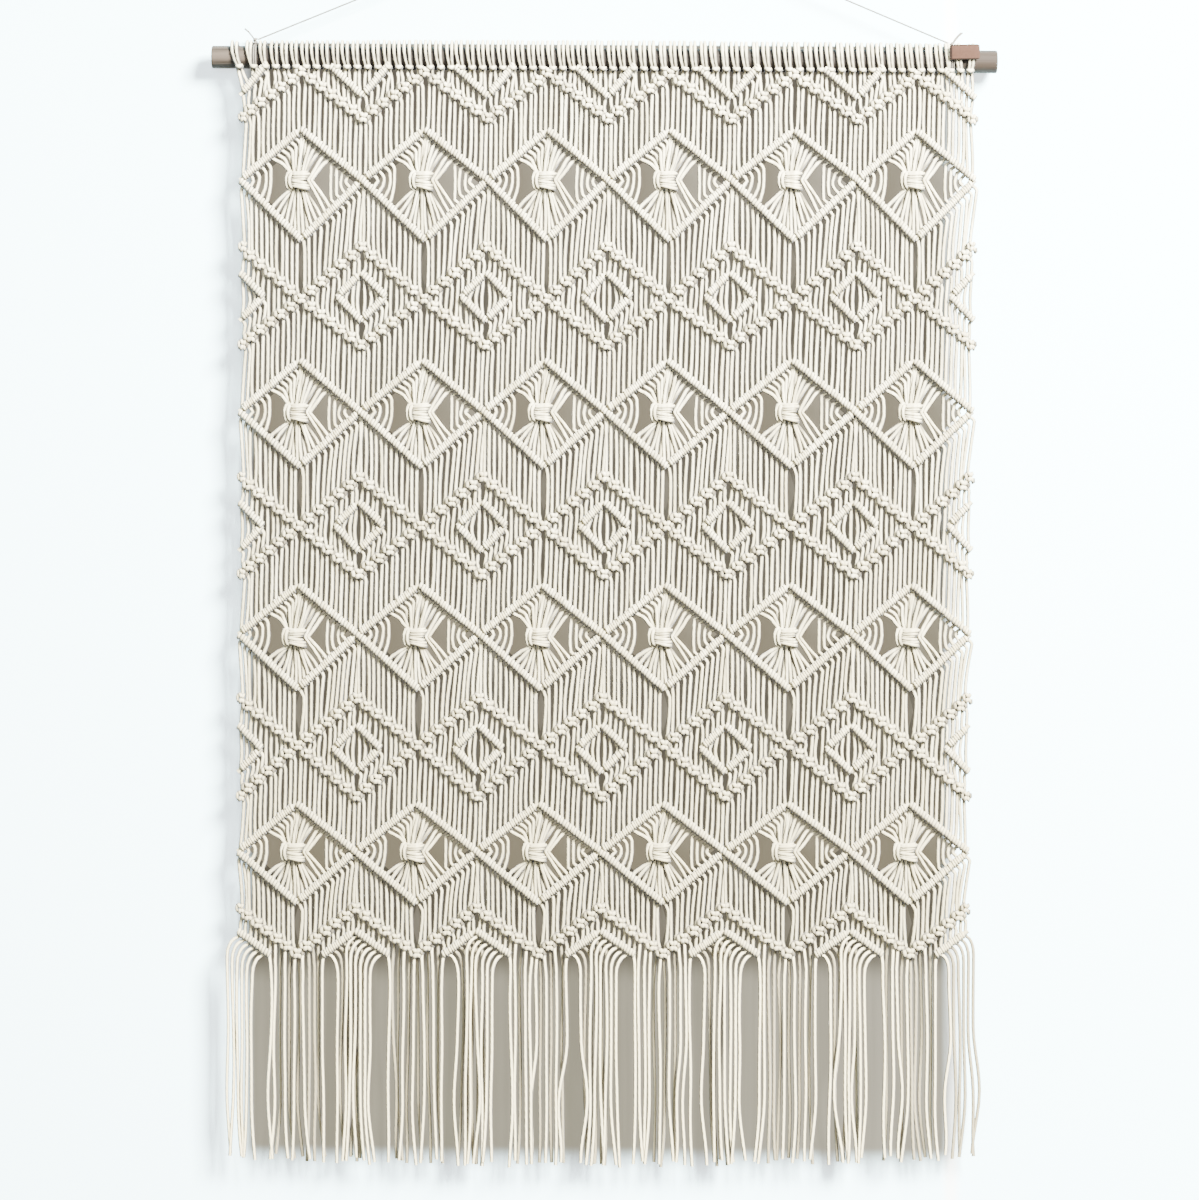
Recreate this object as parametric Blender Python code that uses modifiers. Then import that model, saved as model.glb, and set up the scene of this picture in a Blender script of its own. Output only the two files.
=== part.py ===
"""Macrame wall hanging on a wooden dowel: a knotted cotton panel, its fringe, twine and leather tag.

Units are metres, +Z is up and the front of the panel faces -Y. The origin is the point where the
hanging cord passes over its nail, and every drop is measured downwards from the dowel's axis.
"""
import math

import bmesh
import bpy
from mathutils import Matrix, Vector

# Clearances and cord
CLEARANCE = 0.0003
CORD_DEPTH = 0.005

# Dowel
DOWEL_RADIUS = 0.0136
DOWEL_LENGTH = 0.944
DOWEL_CENTRE_X = -0.003
DOWEL_SINK = 0.1934
DOWEL_SLOPE = -0.0062
DOWEL_SIDES = 32
DOWEL_EDGE = 0.0012

# Hanging cord and its two knots
TWINE_RADIUS = 0.0010
APEX_BEND = 0.004
APEX_STEPS = 6
TWINE_RUN_STEPS = 6
KNOT_LEFT_X = -0.4230
KNOT_RIGHT_X = 0.4150
KNOT_RADIUS = 0.0034
KNOT_HALF_HEIGHT = 0.0050
KNOT_RISE = 0.0066
RING_STEPS = 16
RING_SIDES = 6
TWINE_GAP = 0.0078
TWINE_NOTCH = 0.0022
TAIL_LENGTH = 0.018
TAIL_LEAN = 0.75

# Leather tag, bare
TAG_WIDTH = 0.036
TAG_HEIGHT = 0.018
TAG_THICKNESS = 0.0015
TAG_CENTRE_X = 0.4284
TAG_RISE = 0.0088
TAG_CORNER = 0.002

# Panel: six repeats, four strands in each, with the seams drifting a little to the left downwards
SEAMS_TOP = (-0.4400, -0.2935, -0.1430, 0.0010, 0.1490, 0.3005, 0.4415)
SEAMS_BOTTOM = (-0.4430, -0.3020, -0.1570, -0.0080, 0.1405, 0.2915, 0.4330)
SEAM_TOP_DROP = 0.140
SEAM_BOTTOM_DROP = 0.950
REPEATS = len(SEAMS_TOP) - 1
STRANDS_PER_REPEAT = 4
SLIT = 0.0062
SMALLEST_GAP = 0.006
PANEL_Y = -0.011

# Depths of the solid, as shares of the deepest one
DEEPEST = 0.022
STRAND_SHARE = CORD_DEPTH / DEEPEST
BAR_SHARE = 0.56
KNOT_ROW_HIGH = 0.55
KNOT_ROW_LOW = 0.44
BAR_HALF_HEIGHT = 0.0051
KNOT_ROW_HALF_HEIGHT = 0.0054
PINCH = 0.0012

# Heading: a band over the dowel for each strand, and the line of loops under it
HEADING_DROP = 0.0129
LOOPS_DROP = 0.0175
LOOPS_SHARE = 0.42
HEADING_MID_RADIUS = 0.0184
HEADING_END_ANGLE = math.radians(340)
HEADING_STEPS = 6

# Big knots in the large diamonds: lines down the knot as (height above centre, half width, share)
KNOT_SECTION = (
    ("top edge", 0.0120, 0.0125, 0.36),
    ("upper band", 0.0055, 0.0180, 1.00),
    ("lower band", -0.0055, 0.0180, 1.00),
    ("bottom edge", -0.0120, 0.0125, 0.36),
)
KNOT_SIDE_SHARE = 0.55
KNOT_SHIFT_X = -0.003

# Rows of the panel from the top: drop at the seams, a quarter in and on the axis of the repeat
BAR = "bar with its crest in the middle"
KNOTS_OVER = "row of knots with a proud upper edge"
KNOTS_UNDER = "row of knots with a proud lower edge"
CLOSED, SLITS, BIG_KNOTS = "closed", "slits", "big knots"
ROWS = (
    # kind, seam, quarter, axis, what is below the row
    (BAR, 0.0442, 0.0129, 0.0129, CLOSED),
    (KNOTS_UNDER, 0.0725, 0.0455, 0.0178, SLITS),
    (BAR, 0.1411, 0.1142, 0.0874, BIG_KNOTS),
    (BAR, 0.1512, 0.1835, 0.2158, SLITS),
    (KNOTS_OVER, 0.2266, 0.2542, 0.2818, SLITS),
    (KNOTS_UNDER, 0.3442, 0.3178, 0.2914, SLITS),
    (BAR, 0.4183, 0.3908, 0.3634, BIG_KNOTS),
    (BAR, 0.4284, 0.4583, 0.4882, SLITS),
    (KNOTS_OVER, 0.5026, 0.5296, 0.5566, SLITS),
    (KNOTS_UNDER, 0.6190, 0.5926, 0.5662, SLITS),
    (BAR, 0.6859, 0.6594, 0.6328, BIG_KNOTS),
    (BAR, 0.6960, 0.7253, 0.7546, SLITS),
    (KNOTS_OVER, 0.7678, 0.7936, 0.8194, SLITS),
    (KNOTS_UNDER, 0.8854, 0.8572, 0.8290, SLITS),
    (BAR, 0.9466, 0.9208, 0.8950, BIG_KNOTS),
    (BAR, 0.9562, 0.9838, 1.0114, SLITS),
    (KNOTS_OVER, 1.0198, 1.0468, 1.0738, CLOSED),
    (BAR, 1.0534, 1.0798, 1.0846, None),
)
LAST_ROW = ROWS[-1]

# Fringe: strands hanging from a narrow strip that follows the panel's lower edge
FRINGE_PER_STRAND = 3
STRIP_HEIGHT = 0.005
FRINGE_DEPTH = 0.005
FRINGE_WIDTH = 0.0068
FRINGE_TIP_WIDTH = 0.0050
FRINGE_STEPS = 3
FRINGE_END_DROP = 1.327
FRINGE_END_LIFT = 0.012
FRINGE_UNEVEN = 0.005
FRINGE_SWAY = 0.0022
FRINGE_LAYER = 0.0022


def clear_scene():
    """Remove every object of the open file."""
    for item in list(bpy.data.objects):
        bpy.data.objects.remove(item, do_unlink=True)


def make_collection(name):
    """Return a new collection linked to the scene."""
    group = bpy.data.collections.new(name)
    bpy.context.scene.collection.children.link(group)
    return group


def make_material(name, colour, roughness, metallic=0.0):
    """Return a Principled material."""
    material = bpy.data.materials.new(name)
    material.use_nodes = True
    shader = material.node_tree.nodes["Principled BSDF"]
    shader.inputs["Base Color"].default_value = (*colour, 1.0)
    shader.inputs["Roughness"].default_value = roughness
    shader.inputs["Metallic"].default_value = metallic
    return material


def object_from_bmesh(name, mesh_builder, group, material):
    """Turn a bmesh into an object of the part's collection."""
    mesh = bpy.data.meshes.new(name)
    mesh_builder.to_mesh(mesh)
    mesh_builder.free()
    item = bpy.data.objects.new(name, mesh)
    item.data.materials.append(material)
    group.objects.link(item)
    return item


def interpolate(value, low, high, at_low, at_high):
    """Return the straight-line value between two ends, without going past them."""
    share = min(max((value - low) / (high - low), 0.0), 1.0)
    return at_low + (at_high - at_low) * share


def dowel_z(x):
    """Height of the dowel's axis, which hangs a little lower at the right."""
    return -DOWEL_SINK + DOWEL_SLOPE * (x - DOWEL_CENTRE_X)


def column_x(column, drop):
    """X of a place across the panel, where whole columns are the seams between repeats."""
    index = min(int(column), REPEATS - 1)
    part = column - index
    ends = []
    for seam in (index, index + 1):
        ends.append(interpolate(drop, SEAM_TOP_DROP, SEAM_BOTTOM_DROP, SEAMS_TOP[seam], SEAMS_BOTTOM[seam]))
    return ends[0] + (ends[1] - ends[0]) * part


def row_drop(row, column):
    """Drop of a row's middle at a place across the panel."""
    _, seam, quarter, axis, _ = row
    distance = abs(column - round(column))
    if distance <= 0.25:
        return interpolate(distance, 0.0, 0.25, seam, quarter)
    return interpolate(distance, 0.25, 0.5, quarter, axis)


def stations():
    """Both edges of every strand across the panel, as (column, side of the slit)."""
    places = []
    last = REPEATS * STRANDS_PER_REPEAT
    for boundary in range(last + 1):
        column = boundary / STRANDS_PER_REPEAT
        sides = (0,) if boundary in (0, last) else (-1, 1)
        places.extend((column, side) for side in sides)
    return places


STATIONS = stations()


class Lattice:
    """An open surface of strands and rows, thickened by Solidify with a share for each point."""

    def __init__(self):
        self.surface = bmesh.new()
        self.shares = {}

    def point(self, x, y, z, share):
        """Add a point with its share of the deepest thickness."""
        vertex = self.surface.verts.new((x, y, z))
        self.shares[vertex] = share
        return vertex

    def face(self, corners):
        """Add a face, leaving out corners that two lines share."""
        loop = []
        for corner in corners:
            if corner not in loop:
                loop.append(corner)
        if len(loop) > 2:
            self.surface.faces.new(loop)

    def finish(self, name, group, material, depth):
        """Make the object, with its Solidify modifier."""
        self.surface.verts.index_update()
        shares = {vertex.index: share for vertex, share in self.shares.items()}
        bmesh.ops.recalc_face_normals(self.surface, faces=self.surface.faces)
        item = object_from_bmesh(name, self.surface, group, material)
        weights = item.vertex_groups.new(name="depth")
        for index, share in shares.items():
            weights.add([index], share, "REPLACE")
        shell = item.modifiers.new("thickness", "SOLIDIFY")
        shell.thickness = depth
        shell.offset = 0.0
        shell.vertex_group = weights.name
        return item


def station_drop(row, station):
    """Drop of a row at a strand's edge."""
    column, side = station
    width = (SEAMS_TOP[-1] - SEAMS_TOP[0]) / REPEATS
    return row_drop(row, column + side * SLIT / 2 / width)


def panel_height(x, drop):
    """Height of a point of the panel: the heading follows the dowel's slope, the rows are level."""
    follow = interpolate(drop, HEADING_DROP, 0.14, 1.0, 0.0)
    return -DOWEL_SINK - drop + follow * DOWEL_SLOPE * (x - DOWEL_CENTRE_X)


def add_line(lattice, drops, shares, previous, crest=False):
    """Add a line of points across the panel, sharing points where it meets the line before.

    The crest of a bar has one point for each slit instead of one for each edge of it.
    """
    line = []
    for index, (column, side) in enumerate(STATIONS):
        drop = drops[index]
        if crest and side == 1 and drop - previous["drops"][index] >= PINCH:
            line.append(line[-1])
            continue
        if drop - previous["drops"][index] < PINCH:
            line.append(previous["points"][index])
            drops[index] = previous["drops"][index]
            continue
        x = column_x(column, drop) + (0.0 if crest else side * SLIT / 2)
        line.append(lattice.point(x, PANEL_Y, panel_height(x, drop), shares[index]))
    return {"points": line, "drops": drops}


def row_lines(row):
    """Offsets and shares of the lines that make one row."""
    edge = [STRAND_SHARE] * len(STATIONS)
    if row[0] == BAR:
        crest = [BAR_SHARE] * len(STATIONS)
        return ((-BAR_HALF_HEIGHT, edge), (0.0, crest), (BAR_HALF_HEIGHT, edge))
    proud = [KNOT_ROW_HIGH if index % 4 < 2 else KNOT_ROW_LOW for index in range(len(STATIONS))]
    shares = (proud, edge) if row[0] == KNOTS_OVER else (edge, proud)
    return ((-KNOT_ROW_HALF_HEIGHT, shares[0]), (KNOT_ROW_HALF_HEIGHT, shares[1]))


def fill_between(lattice, upper, lower, slits):
    """Fill the faces between two lines, leaving all but the smallest slits between strands open if asked."""
    for index in range(len(STATIONS) - 1):
        height = min(upper[side].co.z - lower[side].co.z for side in (index, index + 1))
        if slits and index % 2 == 1 and height > SMALLEST_GAP:
            continue
        lattice.face((upper[index], upper[index + 1], lower[index + 1], lower[index]))


def fill_corners(lattice, upper, lower):
    """Fill the small gaps where the side corners of two large diamonds meet."""
    for seam in range(1, REPEATS):
        right = seam * STRANDS_PER_REPEAT * 2
        lattice.face((upper[right - 1], upper[right], lower[right], lower[right - 1]))


def add_big_knot(lattice, repeat, upper, lower):
    """Fill one large diamond: side strands, and strands gathered into a big knot."""
    start = repeat * STRANDS_PER_REPEAT * 2
    side_left = (start, start + 1)
    gathered = (start + 2, start + 3, start + 4, start + 5)
    side_right = (start + 6, start + 7)
    for left, right in (side_left, side_right):
        lattice.face((upper[left], upper[right], lower[right], lower[left]))
    centre_z = (upper[start + 3].co.z + lower[start + 3].co.z) / 2
    centre_x = (upper[start + 3].co.x + upper[start + 4].co.x) / 2 + KNOT_SHIFT_X
    above = [upper[index] for index in gathered]
    for name, height, half_width, share in KNOT_SECTION:
        left, middle, right = (
            lattice.point(centre_x + offset * half_width, PANEL_Y, centre_z + height, share * side_share)
            for offset, side_share in ((-1, KNOT_SIDE_SHARE), (0, 1.0), (1, KNOT_SIDE_SHARE))
        )
        line = [left, middle, middle, right]
        for place in range(3):
            lattice.face((above[place], above[place + 1], line[place + 1], line[place]))
        above = line
    for place in range(3):
        low_left, low_right = lower[gathered[place]], lower[gathered[place + 1]]
        lattice.face((above[place], above[place + 1], low_right, low_left))


def heading_edges(strand):
    """X edges of the bands over the dowel above one strand, parted where the twine is tied."""
    left = STATIONS[strand * 2]
    right = STATIONS[strand * 2 + 1]
    edges = [column_x(column, HEADING_DROP) + side * SLIT / 2 for column, side in (left, right)]
    for knot_x in (KNOT_LEFT_X, KNOT_RIGHT_X):
        if edges[0] < knot_x < edges[-1]:
            edges[1:1] = [knot_x - TWINE_GAP / 2, knot_x + TWINE_GAP / 2]
    return edges


def add_heading_band(lattice, left, right):
    """Wrap one band over the dowel, from its front and over the top to its underside."""
    start_angle = math.asin(-PANEL_Y / HEADING_MID_RADIUS)
    below = (left, right)
    for step in range(1, HEADING_STEPS + 1):
        angle = interpolate(step, 0, HEADING_STEPS, start_angle, HEADING_END_ANGLE)
        y = -HEADING_MID_RADIUS * math.sin(angle)
        rise = -HEADING_MID_RADIUS * math.cos(angle)
        pair = []
        for vertex in (left, right):
            x = vertex.co.x
            pair.append(lattice.point(x, y, dowel_z(x) + rise, STRAND_SHARE))
        lattice.face((below[0], below[1], pair[1], pair[0]))
        below = pair


def build_heading(group, material):
    """Build the heading: a band over the dowel for each strand, joined by the line of loops under it."""
    lattice = Lattice()
    above = []
    for strand in range(REPEATS * STRANDS_PER_REPEAT):
        edges = heading_edges(strand)
        points = [lattice.point(x, PANEL_Y, panel_height(x, HEADING_DROP), STRAND_SHARE) for x in edges]
        for place in range(0, len(points), 2):
            add_heading_band(lattice, points[place], points[place + 1])
        for gap in range(len(points) - 2, 0, -2):
            notch = []
            for vertex, inward in ((points[gap - 1], 1), (points[gap], -1)):
                x = vertex.co.x + inward * CLEARANCE
                notch.append(lattice.point(x, PANEL_Y, vertex.co.z - TWINE_NOTCH, STRAND_SHARE))
            points[gap:gap] = notch
        above.append(points)
    below = []
    for column, side in STATIONS:
        x = column_x(column, LOOPS_DROP) + side * SLIT / 2
        below.append(lattice.point(x, PANEL_Y, panel_height(x, LOOPS_DROP), LOOPS_SHARE))
    for strand, points in enumerate(above):
        left, right = below[strand * 2], below[strand * 2 + 1]
        lattice.face((*points, right, left))
        if strand + 1 < len(above):
            lattice.face((points[-1], above[strand + 1][0], below[strand * 2 + 2], right))
    return lattice.finish("heading", group, material, DEEPEST)


def build_panel(group, material):
    """Build the knotted panel below the heading as one solid."""
    lattice = Lattice()
    top_drop = LOOPS_DROP + CLEARANCE
    previous = {"points": None, "drops": [0.0] * len(STATIONS)}
    edge = [STRAND_SHARE] * len(STATIONS)
    previous = add_line(lattice, [top_drop] * len(STATIONS), edge, previous)
    below = CLOSED
    for row in ROWS:
        for place, (offset, shares) in enumerate(row_lines(row)):
            drops = [max(station_drop(row, station) + offset, previous["drops"][index])
                     for index, station in enumerate(STATIONS)]
            crest = row[0] == BAR and place == 1
            line = add_line(lattice, drops, shares, previous, crest)
            if place == 0 and below == BIG_KNOTS:
                fill_corners(lattice, previous["points"], line["points"])
                for repeat in range(REPEATS):
                    add_big_knot(lattice, repeat, previous["points"], line["points"])
            else:
                fill_between(lattice, previous["points"], line["points"], place == 0 and below == SLITS)
            previous = line
        below = row[-1]
    return lattice.finish("panel", group, material, DEEPEST)


def fringe_end(x, number):
    """Drop of one fringe strand's tip: longest in the middle, and trimmed a little unevenly."""
    half = DOWEL_LENGTH / 2
    lift = FRINGE_END_LIFT * (x / half) ** 2
    return FRINGE_END_DROP - lift - FRINGE_UNEVEN * (0.5 + 0.5 * math.sin(2.4 * number))


def build_fringe(group, material):
    """Build the fringe: strands in two layers, fused at the top into a narrow strip."""
    lattice = Lattice()
    row = LAST_ROW
    count = REPEATS * STRANDS_PER_REPEAT * FRINGE_PER_STRAND
    top_line, root_line = [], []
    for number in range(count):
        for side in (-1, 1):
            column = REPEATS * (number + 0.5) / count
            x = column_x(column, SEAM_BOTTOM_DROP) + side * FRINGE_WIDTH / 2
            width = (SEAMS_TOP[-1] - SEAMS_TOP[0]) / REPEATS
            drop = row_drop(row, column + side * FRINGE_WIDTH / 2 / width) + BAR_HALF_HEIGHT + CLEARANCE
            top_line.append(lattice.point(x, PANEL_Y, -DOWEL_SINK - drop, 1.0))
            root_line.append(lattice.point(x, PANEL_Y, -DOWEL_SINK - drop - STRIP_HEIGHT, 1.0))
    for index in range(len(top_line) - 1):
        lattice.face((top_line[index], top_line[index + 1], root_line[index + 1], root_line[index]))
    for number in range(count):
        add_fringe_strand(lattice, number, root_line[number * 2], root_line[number * 2 + 1])
    return lattice.finish("fringe", group, material, FRINGE_DEPTH)


def add_fringe_strand(lattice, number, left, right):
    """Hang one strand from the strip, swaying a little and leaning into its layer."""
    middle = (left.co.x + right.co.x) / 2
    root_z = min(left.co.z, right.co.z)
    end_z = -DOWEL_SINK - fringe_end(middle, number)
    layer = FRINGE_LAYER if number % 2 else -FRINGE_LAYER
    above = (left, right)
    for step in range(1, FRINGE_STEPS + 1):
        share = step / FRINGE_STEPS
        sway = FRINGE_SWAY * math.sin(2.1 * number + 2.6 * share)
        half = interpolate(share, 0.0, 1.0, FRINGE_WIDTH, FRINGE_TIP_WIDTH) / 2
        z = root_z + (end_z - root_z) * share
        pair = [lattice.point(middle + sway + side * half, PANEL_Y + layer, z, 1.0) for side in (-1, 1)]
        lattice.face((above[0], above[1], pair[1], pair[0]))
        above = pair


def build_dowel(group, material):
    """Build the dowel as a cylinder along X with eased ends."""
    builder = bmesh.new()
    bmesh.ops.create_cone(builder, cap_ends=True, segments=DOWEL_SIDES, radius1=DOWEL_RADIUS,
                          radius2=DOWEL_RADIUS, depth=DOWEL_LENGTH)
    item = object_from_bmesh("dowel", builder, group, material)
    item.location = (DOWEL_CENTRE_X, 0.0, dowel_z(DOWEL_CENTRE_X))
    item.rotation_euler = (0.0, math.radians(90) - math.atan(DOWEL_SLOPE), 0.0)
    easing = item.modifiers.new("eased ends", "BEVEL")
    easing.width = DOWEL_EDGE
    easing.segments = 2
    easing.limit_method = "ANGLE"
    easing.angle_limit = math.radians(60)
    item.data.shade_smooth()
    item.data.set_sharp_from_angle(angle=math.radians(40))
    return item


def knot_centre(x):
    """Middle of a twine knot, which sits on top of the dowel."""
    return Vector((x, 0.0, dowel_z(x) + DOWEL_RADIUS + KNOT_RISE))


def twine_path():
    """Points of the hanging cord: up from the left knot, round the nail and down to the right one."""
    left, right = knot_centre(KNOT_LEFT_X), knot_centre(KNOT_RIGHT_X)
    centre = Vector((0.0, 0.0, -APEX_BEND))
    angles = []
    for knot in (left, right):
        to_knot = knot - centre
        reach = math.acos(APEX_BEND / to_knot.length)
        bearing = math.atan2(to_knot.z, to_knot.x)
        turn = -reach if knot is left else reach
        angles.append(bearing + turn)
    first, last = angles[0] % math.tau, angles[1] % math.tau
    bend = []
    for step in range(APEX_STEPS + 1):
        angle = interpolate(step, 0, APEX_STEPS, first, last)
        bend.append(centre + APEX_BEND * Vector((math.cos(angle), 0.0, math.sin(angle))))
    start = left + (bend[0] - left).normalized() * (KNOT_RADIUS + CLEARANCE)
    end = right + (bend[-1] - right).normalized() * (KNOT_RADIUS + CLEARANCE)
    points = [start.lerp(bend[0], step / TWINE_RUN_STEPS) for step in range(TWINE_RUN_STEPS)]
    points.extend(bend)
    points.extend(bend[-1].lerp(end, step / TWINE_RUN_STEPS) for step in range(1, TWINE_RUN_STEPS + 1))
    return points


def build_hanging_cord(group, material):
    """Build the taut twine as a tube along its path."""
    curve = bpy.data.curves.new("hanging_cord", "CURVE")
    curve.dimensions = "3D"
    curve.bevel_depth = TWINE_RADIUS
    curve.bevel_resolution = 2
    curve.use_fill_caps = True
    points = twine_path()
    spline = curve.splines.new("POLY")
    spline.points.add(len(points) - 1)
    for item, place in zip(spline.points, points):
        item.co = (*place, 1.0)
    item = bpy.data.objects.new("hanging_cord", curve)
    item.data.materials.append(material)
    group.objects.link(item)
    return item


def join_shape(item, builder, name, place, material):
    """Join a hidden helper shape to a part with a Boolean union."""
    helper = object_from_bmesh(name, builder, CUTTERS, material)
    helper.location = place
    helper.hide_render = True
    helper.display_type = "WIRE"
    join = item.modifiers.new(name, "BOOLEAN")
    join.operation = "UNION"
    join.object = helper


def build_twine_knot(name, x, lean, group, material):
    """Build a knot with its short tail and the turn of twine that holds it round the dowel."""
    builder = bmesh.new()
    bmesh.ops.create_icosphere(builder, subdivisions=2, radius=KNOT_RADIUS)
    stretch = Matrix.Scale(KNOT_HALF_HEIGHT / KNOT_RADIUS, 4, (0, 0, 1))
    bmesh.ops.transform(builder, matrix=stretch, verts=builder.verts)
    item = object_from_bmesh(name, builder, group, material)
    item.location = knot_centre(x)

    tail = bmesh.new()
    bmesh.ops.create_cone(tail, cap_ends=True, segments=8, radius1=TWINE_RADIUS, radius2=TWINE_RADIUS,
                          depth=TAIL_LENGTH)
    leaning = Matrix.Rotation(lean * TAIL_LEAN, 4, "Y") @ Matrix.Translation((0, 0, TAIL_LENGTH / 2))
    bmesh.ops.transform(tail, matrix=leaning, verts=tail.verts)
    join_shape(item, tail, name + "_tail", knot_centre(x), material)

    ring = bmesh.new()
    reach = DOWEL_RADIUS + CLEARANCE + TWINE_RADIUS * 1.4
    bmesh.ops.create_circle(ring, segments=RING_SIDES, radius=TWINE_RADIUS)
    bmesh.ops.translate(ring, vec=(0, reach, 0), verts=ring.verts)
    bmesh.ops.spin(ring, geom=ring.edges[:] + ring.verts[:], cent=(0, 0, 0), axis=(1, 0, 0),
                   angle=math.tau, steps=RING_STEPS, use_merge=True)
    bmesh.ops.recalc_face_normals(ring, faces=ring.faces)
    join_shape(item, ring, name + "_ring", (x, 0.0, dowel_z(x)), material)
    return item


def build_tag(group, material):
    """Build the bare leather tag in front of the bands at the right end."""
    outline = bpy.data.curves.new("leather_tag", "CURVE")
    outline.dimensions = "2D"
    outline.fill_mode = "BOTH"
    outline.extrude = TAG_THICKNESS / 2
    spline = outline.splines.new("POLY")
    corners = []
    for across, up, turn in ((1, 1, 0), (-1, 1, 90), (-1, -1, 180), (1, -1, 270)):
        for step in range(3):
            angle = math.radians(turn + 45 * step)
            corners.append((across * (TAG_WIDTH / 2 - TAG_CORNER) + TAG_CORNER * math.cos(angle),
                            up * (TAG_HEIGHT / 2 - TAG_CORNER) + TAG_CORNER * math.sin(angle)))
    spline.points.add(len(corners) - 1)
    for item, (x, y) in zip(spline.points, corners):
        item.co = (x, y, 0.0, 1.0)
    spline.use_cyclic_u = True
    front = HEADING_MID_RADIUS + CORD_DEPTH / 2 + CLEARANCE + TAG_THICKNESS / 2
    item = bpy.data.objects.new("leather_tag", outline)
    item.data.materials.append(material)
    item.location = (TAG_CENTRE_X, -front, dowel_z(TAG_CENTRE_X) + TAG_RISE)
    item.rotation_euler = (math.radians(90), 0.0, 0.0)
    group.objects.link(item)
    return item


clear_scene()
PARTS = make_collection("macrame_wall_hanging")
CUTTERS = make_collection("joined_shapes")
COTTON = make_material("cotton_cord", (0.83, 0.79, 0.70), 0.85)
WOOD = make_material("dowel_wood", (0.34, 0.28, 0.23), 0.65)
TWINE = make_material("hanging_twine", (0.55, 0.50, 0.42), 0.8)
LEATHER = make_material("tag_leather", (0.43, 0.24, 0.18), 0.55)

build_dowel(PARTS, WOOD)
build_heading(PARTS, COTTON)
build_panel(PARTS, COTTON)
build_fringe(PARTS, COTTON)
build_hanging_cord(PARTS, TWINE)
build_twine_knot("twine_knot_left", KNOT_LEFT_X, -1, PARTS, TWINE)
build_twine_knot("twine_knot_right", KNOT_RIGHT_X, 1, PARTS, TWINE)
build_tag(PARTS, LEATHER)
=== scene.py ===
"""Visual model of a macrame wall hanging: knotted cotton cords, dowel, twine and a bare leather tag.

Units are metres, +Z is up and the front faces -Y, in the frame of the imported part. The origin is the
nail that the twine passes over, and every drop is measured downwards from the dowel's axis. A column
is a place across the panel: whole columns are the seams between its six repeats.
"""
from __future__ import annotations

import json
import logging
import math
import random
import sys
from abc import ABC, abstractmethod
from collections.abc import Iterable, Sequence
from dataclasses import dataclass, field
from enum import Enum
from typing import Any

import bpy
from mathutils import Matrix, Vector

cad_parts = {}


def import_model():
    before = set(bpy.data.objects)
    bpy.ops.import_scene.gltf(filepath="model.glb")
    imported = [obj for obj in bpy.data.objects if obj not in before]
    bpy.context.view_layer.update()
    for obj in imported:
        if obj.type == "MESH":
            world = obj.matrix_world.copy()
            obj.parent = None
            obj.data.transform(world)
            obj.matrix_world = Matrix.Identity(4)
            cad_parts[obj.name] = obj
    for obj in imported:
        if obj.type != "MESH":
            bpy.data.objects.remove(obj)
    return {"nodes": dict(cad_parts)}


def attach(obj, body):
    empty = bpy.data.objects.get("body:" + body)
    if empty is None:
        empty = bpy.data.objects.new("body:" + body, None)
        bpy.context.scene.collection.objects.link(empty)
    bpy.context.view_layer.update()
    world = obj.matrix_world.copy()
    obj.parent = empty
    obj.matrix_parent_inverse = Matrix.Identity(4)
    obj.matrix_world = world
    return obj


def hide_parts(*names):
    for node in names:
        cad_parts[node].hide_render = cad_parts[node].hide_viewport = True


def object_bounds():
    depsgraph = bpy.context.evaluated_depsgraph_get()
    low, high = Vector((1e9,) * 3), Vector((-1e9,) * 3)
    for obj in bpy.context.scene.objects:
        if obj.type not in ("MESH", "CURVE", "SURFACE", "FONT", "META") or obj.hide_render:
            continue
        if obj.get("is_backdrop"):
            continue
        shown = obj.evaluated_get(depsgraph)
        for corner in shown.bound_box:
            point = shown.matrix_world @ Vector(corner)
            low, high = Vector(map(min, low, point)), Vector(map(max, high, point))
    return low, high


LOG = logging.getLogger("macrame")
SEED = 478
MILLIMETRE = 0.001

REPEATS = 6
CORDS_PER_REPEAT = 24
KNOTS_PER_REPEAT = 12
CORDS = REPEATS * CORDS_PER_REPEAT
KNOTS = REPEATS * KNOTS_PER_REPEAT
CORD_RADIUS = 0.00228
TWINE_RADIUS = 0.0010
TWINE_KNOTS_X = (-0.4230, 0.4150)

# What a bar does to a cord: the half height it hides, and how the cord steps sideways below it
BAR_REACH = 0.0038
RISING_SHOULDER = 0.0062
FALLING_SHOULDER = -0.0024
SHOULDER_FADE_CORDS = 4
BOW_SINK = 1.35

# A corner of a tube's face is past its seam if it lies this share of a turn behind the face's middle
SEAM_GAP = 0.3

Item = bpy.types.Object
Material = bpy.types.Material
Node = bpy.types.Node
Socket = bpy.types.NodeSocket
Tree = bpy.types.NodeTree
Colour = tuple[float, float, float]
Place = tuple[float, float, float]
Span = tuple[float, float]
Series = tuple[float, ...]


class Lean(Enum):
    """Which way a diagonal goes, seen from the front and from left to right."""

    FALLING = 1
    RISING = -1


class Side(Enum):
    """Where the inside of the large diamonds lies from a zigzag bar."""

    BELOW = 1
    ABOVE = 2


def blend(low: float, high: float, share: float) -> float:
    """Return the value a share of the way from low to high."""
    return low + (high - low) * share


def clamp(value: float, low: float = 0.0, high: float = 1.0) -> float:
    """Return the value kept between two limits."""
    return min(max(value, low), high)


def cord_column(number: int) -> float:
    """Return the column in which a cord hangs."""
    return (number + 0.5) / CORDS_PER_REPEAT


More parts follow.
